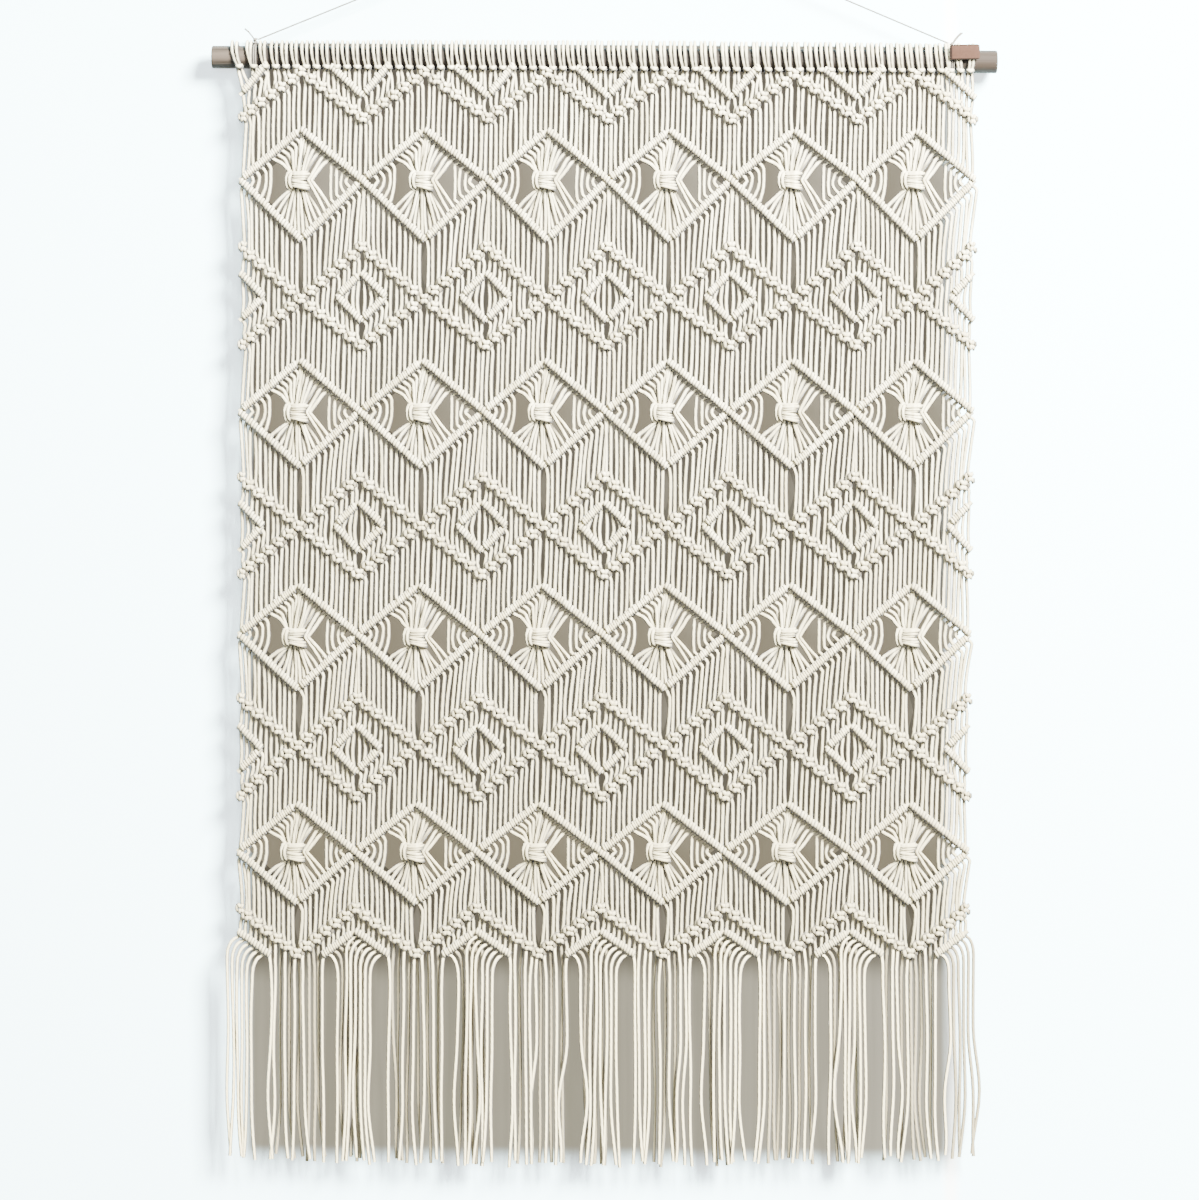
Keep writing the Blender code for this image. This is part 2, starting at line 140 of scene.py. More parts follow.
@dataclass(frozen=True)
class Dowel:
    """The rod that everything hangs from, a little lower at its right end."""

    radius: float = 0.0136
    length: float = 0.944
    centre_x: float = -0.003
    sink: float = 0.1934
    slope: float = -0.0062

    def z(self, x: float) -> float:
        """Return the height of its axis."""
        return -self.sink + self.slope * (x - self.centre_x)

    @staticmethod
    def dress(dowel: Item, look: Material) -> None:
        """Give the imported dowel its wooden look."""
        for slot in dowel.material_slots:
            slot.material = look


DOWEL = Dowel()


@dataclass(frozen=True)
class Grid:
    """The panel's columns and drops.

    The seams drift to the left between the top and the bottom drop. The rows follow the dowel down to
    the follow drop, and are level from the top drop on.
    """

    seams_top: Series = (-0.4400, -0.2935, -0.1430, 0.0010, 0.1490, 0.3005, 0.4415)
    seams_bottom: Series = (-0.4430, -0.3020, -0.1570, -0.0080, 0.1405, 0.2915, 0.4330)
    top_drop: float = 0.140
    bottom_drop: float = 0.950
    follow_drop: float = 0.0129
    y: float = -0.011

    def x(self, column: float, drop: float) -> float:
        """Return the x of a column at a drop."""
        index = min(max(int(column), 0), REPEATS - 1)
        share = clamp((drop - self.top_drop) / (self.bottom_drop - self.top_drop))
        left = blend(self.seams_top[index], self.seams_bottom[index], share)
        right = blend(self.seams_top[index + 1], self.seams_bottom[index + 1], share)
        return blend(left, right, column - index)

    def z(self, x: float, drop: float) -> float:
        """Return the height at a drop: the heading follows the dowel, the rows below are level."""
        follow = 1.0 - clamp((drop - self.follow_drop) / (self.top_drop - self.follow_drop))
        return -DOWEL.sink - drop + follow * DOWEL.slope * (x - DOWEL.centre_x)

    def point(self, x: float, drop: float, depth: float = 0.0) -> Vector:
        """Return a point at an x, a drop and a depth behind the panel's middle."""
        return Vector((x, self.y + depth, self.z(x, drop)))

    def place(self, column: float, drop: float) -> Vector:
        """Return the point of the panel's middle at a column and a drop."""
        return self.point(self.x(column, drop), drop)


GRID = Grid()


@dataclass(frozen=True)
class HeadLayout:
    """Where the lark's heads stand along the dowel, and how far they lean aside at their top."""

    loop_drop: float = 0.0132
    edge: Series = (-0.0070, -0.0020)
    first_leans: Series = (-0.0070, -0.0060, -0.0045)
    lean: float = -0.0030
    uneven: float = 0.0005
    uneven_turn: float = 2.3
    last_share: float = -0.6
    ease: float = 2.2

    def x(self, pair: int, drop: float) -> float:
        """Return the middle of a pair at a drop.

        Args:
            pair: the lark's head, counted from the left.
            drop: the drop.

        Returns:
            Its x, a little to the side near the dowel's top.
        """
        edge = self.edge[pair] if pair < len(self.edge) else 0.0
        lean = self.lean + self.uneven * math.sin(self.uneven_turn * pair)
        if pair < len(self.first_leans):
            lean = self.first_leans[pair]
        if pair == KNOTS - 1:
            lean *= self.last_share
        below = 1.0 - clamp((self.loop_drop - drop) / (self.loop_drop + DOWEL.radius))
        return GRID.x((pair + 0.5) / KNOTS_PER_REPEAT, drop) + edge + lean * (1.0 - below**self.ease)


HEADS = HeadLayout()


@dataclass(frozen=True)
class Interior:
    """How the cords of a repeat run inside its large diamond, with places measured from its axis.

    The gathered ones, which belong to the big knot, hang evenly between those at the left and right.
    """

    left: Series = (-0.0690, -0.0596, -0.0536, -0.0464, -0.0404)
    left_bow: Series = (0.0004, 0.0014, 0.0022, 0.0026, 0.0028)
    right: Series = (0.0356, 0.0420, 0.0490, 0.0552, 0.0630)
    right_bow: Series = (-0.0004, -0.0010, -0.0020, -0.0022, -0.0014)
    gathered: int = 14
    first: float = -0.0318
    pitch: float = 0.00492
    knot_x: float = -0.0026

    def rank(self, number: int) -> int | None:
        """Return a cord's rank among those of the big knot, or None if it isn't one of them."""
        rank = number % CORDS_PER_REPEAT - len(self.left)
        return rank if 0 <= rank < self.gathered else None

    def offset(self, number: int) -> tuple[float, float]:
        """Return a cord's distance from the axis, and its bow."""
        place = number % CORDS_PER_REPEAT
        rank = place - len(self.left)
        if rank < 0:
            return self.left[place], self.left_bow[place]
        if rank >= self.gathered:
            return self.right[rank - self.gathered], self.right_bow[rank - self.gathered]
        return self.first + rank * self.pitch, 0.0


INTERIOR = Interior()


@dataclass(frozen=True)
class Crossing:
    """Where one cord passes through a bar or knot.

    Attributes:
        drop_in: drop at which it arrives.
        drop_out: drop at which it leaves.
        x_in: where it arrives.
        x_out: where it leaves.
        reach: half height that hides it.
        shoulder: how far it steps sideways just below.
        depth: how far behind the panel's middle it lies.
        bow: sideways bulge of the free cord below.
        tuck: how much deeper it lies just below.
        sink: how low the bulge is widest: 1 is halfway, less is higher.
    """

    drop_in: float
    drop_out: float
    x_in: float
    x_out: float
    reach: float
    shoulder: float = 0.0
    depth: float = 0.0012
    bow: float = 0.0
    tuck: float = 0.0
    sink: float = BOW_SINK


class Level(ABC):
    """One row of the pattern, which a cord may pass through."""

    @abstractmethod
    def crossing(self, number: int) -> Crossing | None:
        """Say where a cord passes through the row.

        Args:
            number: the cord, counted from the left.

        Returns:
            Its crossing, or None if it misses the row.
        """


@dataclass(frozen=True)
class Zigzag(Level):
    """A row that runs up and down between the seams and the axes of all the repeats."""

    seam: float
    axis: float

    def drop(self, column: float) -> float:
        """Return the drop of the row at a column."""
        return blend(self.seam, self.axis, abs(column - round(column)) / 0.5)

    def lean(self, column: float) -> Lean:
        """Return which way the row goes at a column."""
        left_half = column - math.floor(column) < 0.5
        return Lean.FALLING if left_half == (self.axis > self.seam) else Lean.RISING


@dataclass(frozen=True)
class ZigzagBar(Zigzag):
    """A zigzag of clove hitches, on one edge of the large diamonds.

    Below the diamonds the cords part on the axis, the more the nearer lens is to 1. Their bows are
    given from the axis outwards.
    """

    inside: Side
    lens: float = 0.0
    lens_bow: Series = (0.0004, 0.0002, 0.0)
    wide_lens_bow: Series = (0.0040, 0.0014, 0.0004)
    lens_left: float = 0.15
    lens_step: Span = (0.0018, 0.0016)
    lens_sink: float = 0.5
    open_shoulder: float = 0.62
    tuck: float = 0.0012

    def crossing(self, number: int) -> Crossing:
        """Return where a cord passes through the bar."""
        column = cord_column(number)
        drop = self.drop(column)
        plain = GRID.x(column, drop)
        offset, bow = INTERIOR.offset(number)
        spread = GRID.x(math.floor(column) + 0.5, drop) + offset
        rising = self.lean(column) is Lean.RISING
        shoulder = RISING_SHOULDER if rising else FALLING_SHOULDER
        tuck = 0.0 if rising else self.tuck
        if self.inside is Side.BELOW:
            if INTERIOR.rank(number) is None:
                shoulder *= self.open_shoulder if rising else 0.0
            return Crossing(drop, drop, plain, spread, BAR_REACH, shoulder, bow=bow, tuck=tuck)
        place = number % CORDS_PER_REPEAT
        from_axis = int(abs(place - (CORDS_PER_REPEAT - 1) / 2))
        shoulder *= clamp((from_axis - 1) / SHOULDER_FADE_CORDS)
        bow, sink = 0.0, BOW_SINK
        if from_axis < len(self.lens_bow):
            bow = blend(self.lens_bow[from_axis], self.wide_lens_bow[from_axis], self.lens)
            sink = self.lens_sink
            if place < CORDS_PER_REPEAT / 2:
                bow *= -self.lens_left
                plain -= blend(*self.lens_step, self.lens) * (1.0 - 0.5 * from_axis)
        return Crossing(drop, drop, spread, plain, BAR_REACH, shoulder, bow=bow, tuck=tuck, sink=sink)


@dataclass(frozen=True)
class ZigzagKnots(Zigzag):
    """A zigzag of square knots, each taking two cords from the knot before it."""

    reach: float = 0.0040
    inner: float = 0.0018
    outer: float = 0.0074
    shoulder: float = 0.0022
    inward: float = 0.0034

    def knot_place(self, knot: int) -> tuple[float, float]:
        """Return the x and drop of a knot, counted from the left edge."""
        column = knot / KNOTS_PER_REPEAT
        drop = self.drop(column)
        return GRID.x(column, drop) + {0: self.inward, KNOTS: -self.inward}.get(knot, 0.0), drop

    def crossing(self, number: int) -> Crossing:
        """Return where a cord passes through its two knots."""
        falling = self.lean(cord_column(number)) is Lean.FALLING
        knots = (number // 2, number // 2 + 1)
        first, last = knots if falling else knots[::-1]
        inner_first = number % 2 == 0
        right_side = self.inner if inner_first else self.outer
        left_side = -self.outer if inner_first else -self.inner
        shift = (right_side, left_side) if falling else (left_side, right_side)
        x_first, drop_first = self.knot_place(first)
        x_last, drop_last = self.knot_place(last)
        shoulder = 0.0 if falling else self.shoulder
        return Crossing(drop_first, drop_last, x_first + shift[0], x_last + shift[1], self.reach, shoulder)


@dataclass(frozen=True)
class BarLine:
    """A run of clove hitches.

    Attributes:
        lean: which way it goes.
        places: its points as (column, drop), from left to right.
        free: those of them where no other run passes over it.
    """

    lean: Lean
    places: tuple[Span, ...]
    free: tuple[Span, ...] = ()

    def points(self) -> list[Vector]:
        """Return its points at the panel's middle."""
        return [GRID.place(*place) for place in self.places]

    def crossed(self) -> list[Vector]:
        """Return the points where another run passes over it."""
        return [GRID.place(*place) for place in self.places if place not in self.free]


@dataclass(frozen=True)
class Arrow(Level):
    """Short bars that meet at every seam, such as the V under the heading, with reaches in columns."""

    seam: float
    end: float
    reach_left: float
    reach_right: float
    slack: float = 1.0
    right_lift: float = 0.0

    def drop(self, offset: float) -> float | None:
        """Return the drop at a distance from the seam, or None past the arms' ends."""
        reach = self.reach_left if offset < 0 else self.reach_right
        end = self.end if offset < 0 else self.end - self.right_lift
        share = abs(offset) / reach
        return None if share > 1.0 else blend(self.seam, end, share)

    def crossing(self, number: int) -> Crossing | None:
        """Return where a cord passes through one of the arms."""
        column = cord_column(number)
        offset = column - round(column)
        drop = self.drop(offset)
        if drop is None:
            return None
        rising = (offset < 0) == (self.seam < self.end)
        shoulder = (RISING_SHOULDER if rising else FALLING_SHOULDER) * self.slack
        if self.slack == 1.0:
            shoulder *= clamp(abs(offset) * CORDS_PER_REPEAT / SHOULDER_FADE_CORDS)
        x = GRID.x(column, drop)
        return Crossing(drop, drop, x, x, BAR_REACH, shoulder)

    def lines(self) -> list[BarLine]:
        """Return the arms as runs of hitches."""
        leans = (Lean.FALLING, Lean.RISING) if self.end < self.seam else (Lean.RISING, Lean.FALLING)
        found = []
        for seam in range(REPEATS + 1):
            middle = (float(seam), self.seam)
            left = (seam - self.reach_left, self.end)
            right = (seam + self.reach_right, self.end - self.right_lift)
            if seam > 0:
                found.append(BarLine(leans[0], (left, middle), (left,)))
            if seam < REPEATS:
                found.append(BarLine(leans[1], (middle, right), (right,)))
        return found


@dataclass(frozen=True)
class SmallEdge(Level):
    """The upper or lower edge of the small diamonds, which are centred on the seams."""

    seam: float
    middle: float
    reach: float = 0.197
    bow: Span = (0.0008, 0.0052)
    shoulder: float = 0.7

    def crossing(self, number: int) -> Crossing | None:
        """Return where a cord passes through one edge of a small diamond."""
        column = cord_column(number)
        offset = column - round(column)
        share = abs(offset) / self.reach
        if share > 1.0:
            return None
        drop = blend(self.seam, self.middle, share)
        x = GRID.x(column, drop)
        if self.seam < self.middle:
            return Crossing(drop, drop, x, x, BAR_REACH, bow=math.copysign(blend(*self.bow, share), offset))
        shoulder = RISING_SHOULDER * self.shoulder if offset > 0 else FALLING_SHOULDER
        return Crossing(drop, drop, x, x, BAR_REACH, shoulder)


@dataclass(frozen=True)
class BigKnotRow(Level):
    """The row of big knots, one in the middle of each large diamond, with some cords beside it."""

    centre: float
    reach: float = 0.0112
    pitch: float = 0.0017
    layer: float = 0.0031
    inset: float = 0.0015
    beside: int = 2
    beside_x: float = 0.0116
    beside_pitch: float = 0.0036
    beside_depth: float = -0.0040
    beside_drops: Span = (-0.0012, 0.0002)

    def crossing(self, number: int) -> Crossing | None:
        """Return where a cord passes through or beside its big knot."""
        rank = INTERIOR.rank(number)
        if rank is None:
            return None
        axis = GRID.x(number // CORDS_PER_REPEAT + 0.5, self.centre) + INTERIOR.knot_x
        outside = rank - INTERIOR.gathered + self.beside
        if outside >= 0:
            x = axis + self.beside_x + self.beside_pitch * outside
            drops = (self.centre + drop for drop in self.beside_drops)
            return Crossing(*drops, x, x, 0.0, depth=self.beside_depth)
        x = axis + (rank - (INTERIOR.gathered - 1) / 2) * self.pitch
        depth = (rank % 3 - 1) * self.layer + self.inset
        return Crossing(self.centre, self.centre, x, x, self.reach, depth=depth)


@dataclass(frozen=True)
class Pattern:
    """The panel's rows, by their drops.

    Attributes:
        large: top, side corners, big knot and bottom of the large diamonds.
        lenses: how far the cords part below each row of them, from 0 to 1.
        lattices: the knotted lattices between them: seam above, crossing on the axis and seam below.
        small: top, side corners and bottom of the small diamonds inside the lattices.
        top_arrow: the bars under the heading.
        first_knots: the first row of square knots.
        last_knots: the last row of square knots.
        bottom_arrow: the bars above the fringe.
    """

    large: tuple[tuple[float, float, float, float], ...] = (
        (0.0866, 0.1468, 0.1474, 0.2184),
        (0.3630, 0.4243, 0.4258, 0.4902),
        (0.6324, 0.6915, 0.6950, 0.7572),
        (0.8946, 0.9520, 0.9526, 1.0134),
    )
    lenses: Series = (0.20, 0.50, 0.90, 1.0)
    lattices: tuple[Place, ...] = (
        (0.2266, 0.2890, 0.3442),
        (0.5026, 0.5614, 0.6190),
        (0.7678, 0.8242, 0.8854),
    )
    small: tuple[Place, ...] = (
        (0.2578, 0.2866, 0.3152),
        (0.5326, 0.5614, 0.5914),
        (0.8002, 0.8284, 0.8566),
    )
    top_arrow: Arrow = Arrow(0.0468, 0.0118, reach_left=0.262, reach_right=0.220, right_lift=0.0030)
    first_knots: ZigzagKnots = ZigzagKnots(0.0725, 0.0186)
    last_knots: ZigzagKnots = ZigzagKnots(1.0198, 1.0738)
    bottom_arrow: Arrow = Arrow(1.0470, 1.0760, reach_left=0.275, reach_right=0.275, slack=2.4)

    def levels(self) -> list[Level]:
        """Return every row from the top down."""
        levels: list[Level] = [self.top_arrow, self.first_knots]
        for index, (top, corner, knot, bottom) in enumerate(self.large):
            lower = ZigzagBar(corner, bottom, Side.ABOVE, self.lenses[index])
            levels += [ZigzagBar(corner, top, Side.BELOW), BigKnotRow(knot), lower]
            if index < len(self.lattices):
                above, middle, below = self.lattices[index]
                small_top, small_middle, small_bottom = self.small[index]
                levels += [ZigzagKnots(above, middle), SmallEdge(small_top, small_middle),
                           SmallEdge(small_bottom, small_middle), ZigzagKnots(below, middle)]
        return levels + [self.last_knots, self.bottom_arrow]

    def lines(self) -> list[BarLine]:
        """Return every run of clove hitches."""
        lines = self.top_arrow.lines() + self.bottom_arrow.lines()
        for top, corner, _, bottom in self.large:
            for seam in range(REPEATS + 1):
                for lean, before, after in ((Lean.FALLING, top, bottom), (Lean.RISING, bottom, top)):
                    places = [(float(seam), corner)]
                    if seam > 0:
                        places.insert(0, (seam - 0.5, before))
                    if seam < REPEATS:
                        places.append((seam + 0.5, after))
                    lines.append(BarLine(lean, tuple(places)))
        for top, corner, bottom in self.small:
            for seam in range(REPEATS + 1):
                above, below = (float(seam), top), (float(seam), bottom)
                left, right = (seam - SmallEdge.reach, corner), (seam + SmallEdge.reach, corner)
                if seam > 0:
                    lines += [BarLine(Lean.RISING, (left, above)), BarLine(Lean.FALLING, (left, below))]
                if seam < REPEATS:
                    lines += [BarLine(Lean.FALLING, (above, right)), BarLine(Lean.RISING, (below, right))]
        return lines


PATTERN = Pattern()


class Nodes:
    """Adds nodes to a node tree, with their settings and inputs in one call."""

    def __init__(self, tree: Tree) -> None:
        """Keep the tree that nodes are added to."""
        self.tree = tree

    def add(self, kind: str, settings: dict[str, Any] | None = None,
            inputs: dict[str | int, Any] | None = None) -> Node:
        """Add a node.

        Args:
            kind: the node's type.
            settings: properties to set before the inputs.
            inputs: a value or an output socket for each input, by name or place.

        Returns:
            The new node.
        """
        node = self.tree.nodes.new(kind)
        for name, value in (settings or {}).items():
            setattr(node, name, value)
        self.fill(node, inputs or {})
        return node

    def fill(self, node: Node, inputs: dict[str | int, Any]) -> None:
        """Set or link a node's inputs, each with a value or an output socket."""
        for name, value in inputs.items():
            if isinstance(value, Socket):
                self.tree.links.new(value, node.inputs[name])
            else:
                node.inputs[name].default_value = value

    def math(self, operation: str, *values: Socket | float) -> Socket:
        """Return the result of a math node on values or sockets."""
        return self.add("ShaderNodeMath", {"operation": operation}, dict(enumerate(values))).outputs[0]

    def ramp(self, value: Socket, start: float, end: float, low: float = 0.0, high: float = 1.0,
             smooth: bool = True) -> Socket:
        """Map a value.

        Args:
            value: the value to map.
            start: the value that becomes low.
            end: the value that becomes high.
            low: the result at and before the start.
            high: the result at and past the end.
            smooth: whether the result eases in and out.

        Returns:
            The mapped value.
        """
        kind = "SMOOTHSTEP" if smooth else "LINEAR"
        inputs = dict(enumerate((value, start, end, low, high)))
        return self.add("ShaderNodeMapRange", {"interpolation_type": kind}, inputs).outputs[0]

    def mix(self, share: Socket, *tones: Socket | Colour) -> Socket:
        """Return a blend of two colours by a share, each of them a socket or a plain colour."""
        first, second = (tone if isinstance(tone, Socket) else (*tone, 1.0) for tone in tones)
        return self.add("ShaderNodeMix", {"data_type": "RGBA"}, {0: share, 6: first, 7: second}).outputs[2]

    def noise(self, place: Socket, scale: float, detail: float) -> Socket:
        """Return a noise between 0 and 1."""
        inputs = {"Vector": place, "Scale": scale, "Detail": detail}
        return self.add("ShaderNodeTexNoise", inputs=inputs).outputs[0]

    def stretch(self, place: Socket, scale: Place) -> Socket:
        """Return a place scaled along each axis."""
        return self.add("ShaderNodeMapping", inputs={"Vector": place, "Scale": scale}).outputs[0]

    def split(self, vector: Socket) -> tuple[Socket, ...]:
        """Return the three parts of a vector."""
        return tuple(self.add("ShaderNodeSeparateXYZ", inputs={0: vector}).outputs)

    def coordinates(self, name: str = "Object") -> Socket:
        """Return a surface coordinate by its name."""
        return self.add("ShaderNodeTexCoord").outputs[name]


def add_object(name: str, data: bpy.types.ID) -> Item:
    """Add an object with its data to the scene and return it."""
    item = bpy.data.objects.new(name, data)
    bpy.context.scene.collection.objects.link(item)
    return item


def new_curve(name: str) -> bpy.types.Curve:
    """Return a new curve without any spline."""
    curve = bpy.data.curves.new(name, "CURVE")
    curve.dimensions = "3D"
    return curve


def add_spline(curve: bpy.types.Curve, points: Sequence[Vector]) -> bpy.types.Spline:
    """Add a spline of straight runs through points to a curve and return it."""
    spline = curve.splines.new("POLY")
    spline.points.add(len(points) - 1)
    spline.points.foreach_set("co", [value for point in points for value in (*point, 1.0)])
    return spline


def new_geometry_tree(name: str, inputs: dict[str, str]) -> tuple[Nodes, Node]:
    """Make a geometry tree with named inputs.

    Args:
        name: the tree's name.
        inputs: a socket type for the name of each input after the geometry.

    Returns:
        The tree's node adder and its group input node.
    """
    tree = bpy.data.node_groups.new(name, "GeometryNodeTree")
    for label, kind in {"Geometry": "NodeSocketGeometry", **inputs}.items():
        tree.interface.new_socket(label, in_out="INPUT", socket_type=kind)
    tree.interface.new_socket("Geometry", in_out="OUTPUT", socket_type="NodeSocketGeometry")
    nodes = Nodes(tree)
    return nodes, nodes.add("NodeGroupInput")


def finish_tree(nodes: Nodes, geometry: Socket, material: Socket) -> Tree:
    """End a tree with Realize Instances and Set Material, and return it."""
    smooth = nodes.add("GeometryNodeSetShadeSmooth", inputs={"Geometry": geometry})
    real = nodes.add("GeometryNodeRealizeInstances", inputs={"Geometry": smooth.outputs[0]})
    dressed = nodes.add("GeometryNodeSetMaterial",
                        inputs={"Geometry": real.outputs[0], "Material": material})
    nodes.add("NodeGroupOutput", inputs={"Geometry": dressed.outputs[0]})
    return nodes.tree


def build_strand_tree() -> Tree:
    """Make the tree that turns splines into closed tubes with UVs in "cord_uv" as (around, along)."""
    nodes, start = new_geometry_tree("strands", {"Sides": "NodeSocketInt", "Material": "NodeSocketMaterial"})
    profile = nodes.add("GeometryNodeCurvePrimitiveCircle",
                        inputs={"Resolution": start.outputs["Sides"], "Radius": 1.0})
    captured = []
    for label, curve, output in (("around", profile.outputs["Curve"], "Factor"),
                                 ("along", start.outputs["Geometry"], "Length")):
        parameter = nodes.add("GeometryNodeSplineParameter")
        capture = nodes.add("GeometryNodeCaptureAttribute", {"domain": "POINT"})
        capture.capture_items.new("FLOAT", label)
        nodes.tree.links.new(curve, capture.inputs[0])
        nodes.tree.links.new(parameter.outputs[output], capture.inputs[1])
        captured.append(capture.outputs)
    radius = nodes.add("GeometryNodeInputRadius")
    tube = nodes.add("GeometryNodeCurveToMesh", inputs={
        "Curve": captured[1][0], "Profile Curve": captured[0][0],
        "Scale": radius.outputs[0], "Fill Caps": True})
    around, along = captured[0][1], captured[1][1]
    face_mean = nodes.add("GeometryNodeFieldOnDomain", {"domain": "FACE", "data_type": "FLOAT"},
                          {"Value": around})
    gap = nodes.math("SUBTRACT", face_mean.outputs[0], around)
    behind = nodes.math("GREATER_THAN", gap, SEAM_GAP)
    place = nodes.add("ShaderNodeCombineXYZ", inputs={"X": nodes.math("ADD", around, behind), "Y": along})
    stored = nodes.add("GeometryNodeStoreNamedAttribute", {"data_type": "FLOAT2", "domain": "CORNER"},
                       {"Geometry": tube.outputs[0], "Name": "cord_uv", "Value": place.outputs[0]})
    return finish_tree(nodes, stored.outputs[0], start.outputs["Material"])


def build_scatter_tree() -> Tree:
    """Make the tree that puts one shape on every point, turned and sized by the point's attributes."""
    nodes, start = new_geometry_tree("scatter", {"Shape": "NodeSocketObject",
                                                 "Material": "NodeSocketMaterial"})
    shape = nodes.add("GeometryNodeObjectInfo", inputs={"Object": start.outputs["Shape"]})
    turn, size = (
        nodes.add("GeometryNodeInputNamedAttribute", {"data_type": "FLOAT_VECTOR"}, {"Name": name}).outputs[0]
        for name in ("turn", "size"))
    rotation = nodes.add("FunctionNodeEulerToRotation", inputs={"Euler": turn})
    placed = nodes.add("GeometryNodeInstanceOnPoints", inputs={
        "Points": start.outputs["Geometry"], "Instance": shape.outputs["Geometry"],
        "Rotation": rotation.outputs[0], "Scale": size})
    return finish_tree(nodes, placed.outputs[0], start.outputs["Material"])


def run_tree(source: Item, tree: Tree, values: dict[str, Any]) -> Item:
    """Run a geometry tree on an object and keep the result as a plain mesh object.

    Args:
        source: the object whose data the tree starts from, which is removed.
        tree: the geometry tree.
        values: the tree's inputs by name.

    Returns:
        The new mesh object, with the source's name.
    """
    name = source.name
    modifier = source.modifiers.new(tree.name, "NODES")
    modifier.node_group = tree
    for item in tree.interface.items_tree:
        if item.item_type == "SOCKET" and item.in_out == "INPUT" and item.name in values:
            modifier[item.identifier] = values[item.name]
    graph = bpy.context.evaluated_depsgraph_get()
    mesh = bpy.data.meshes.new_from_object(source.evaluated_get(graph), depsgraph=graph)
    source.modifiers.remove(modifier)
    bpy.data.objects.remove(source, do_unlink=True)
    mesh.name = name
    return add_object(name, mesh)


@dataclass
class StrandSet:
    """Strands that become one piece of tubes."""

    name: str
    sides: int = 6
    strands: list[tuple[list[Vector], list[float], bool]] = field(default_factory=list)

    def add(self, points: Iterable[Sequence[float]], radius: float | Sequence[float] = CORD_RADIUS,
            closed: bool = False) -> None:
        """Add a strand along points, with one radius or one for each point."""
        places = [Vector(point) for point in points]
        radii = list(radius) if isinstance(radius, Sequence) else [radius] * len(places)
        self.strands.append((places, radii, closed))

    def build(self, tree: Tree, material: Material) -> Item:
        """Turn the strands into one mesh object through the strand tree."""
        curve = new_curve(self.name)
        for places, radii, closed in self.strands:
            spline = add_spline(curve, places)
            spline.points.foreach_set("radius", radii)
            spline.use_cyclic_u = closed
        return run_tree(add_object(self.name, curve), tree, {"Sides": self.sides, "Material": material})


@dataclass
class Scatter:
    """Points that each carry a copy of one shape, with its rotation and its scale."""

    name: str
    copies: list[tuple[Vector, Place, Place]] = field(default_factory=list)

    def build(self, tree: Tree, shape: Item, material: Material) -> Item:
        """Turn the copies into one mesh object through the scatter tree."""
        mesh = bpy.data.meshes.new(self.name)
        places, turns, sizes = zip(*self.copies)
        mesh.from_pydata(places, [], [])
        for label, vectors in (("turn", turns), ("size", sizes)):
            layer = mesh.attributes.new(label, "FLOAT_VECTOR", "POINT")
            layer.data.foreach_set("vector", [value for vector in vectors for value in vector])
        return run_tree(add_object(self.name, mesh), tree, {"Shape": shape, "Material": material})


def new_material(name: str) -> tuple[Material, Nodes, Node]:
    """Make a material and return it with its node adder and its shader."""
    material = bpy.data.materials.new(name)
    material.use_nodes = True
    return material, Nodes(material.node_tree), material.node_tree.nodes["Principled BSDF"]


@dataclass(frozen=True, kw_only=True)
class Finish(ABC):
    """Look of one kind of surface."""

    roughness: float
    specular: float
    sheen: float = 0.0
    bump: Span

    @abstractmethod
    def tones(self, nodes: Nodes) -> tuple[Socket, Socket]:
        """Build the tones of the surface.

        Args:
            nodes: the material's node adder.

        Returns:
            Its colour and its relief.
        """

    def build(self, name: str) -> Material:
        """Make the material."""
        material, nodes, shader = new_material(name)
        colour, height = self.tones(nodes)
        distance, strength = self.bump
        relief = nodes.add("ShaderNodeBump",
                           inputs={"Height": height, "Distance": distance, "Strength": strength})
        nodes.fill(shader, {"Base Color": colour, "Normal": relief.outputs[0], "Roughness": self.roughness,
                            "Sheen Weight": self.sheen, "Specular IOR Level": self.specular})
        return material


class ShadeDepth(Enum):
    """Where the painted shade deep between the cords starts and ends: from the front inwards, then to the
    back.

    Each is a Y, except for the heading, whose first two are distances from the dowel's axis.
    """

    PANEL = (-0.0114, -0.0092, -0.0090, -0.0080)
    FRINGE = (-0.0142, -0.0100, -0.0050, -0.0025)
    HEADING = (0.0184, 0.0162, 0.0, 0.0)
    KNOT = (-0.0182, -0.0150, -0.0112, -0.0092)


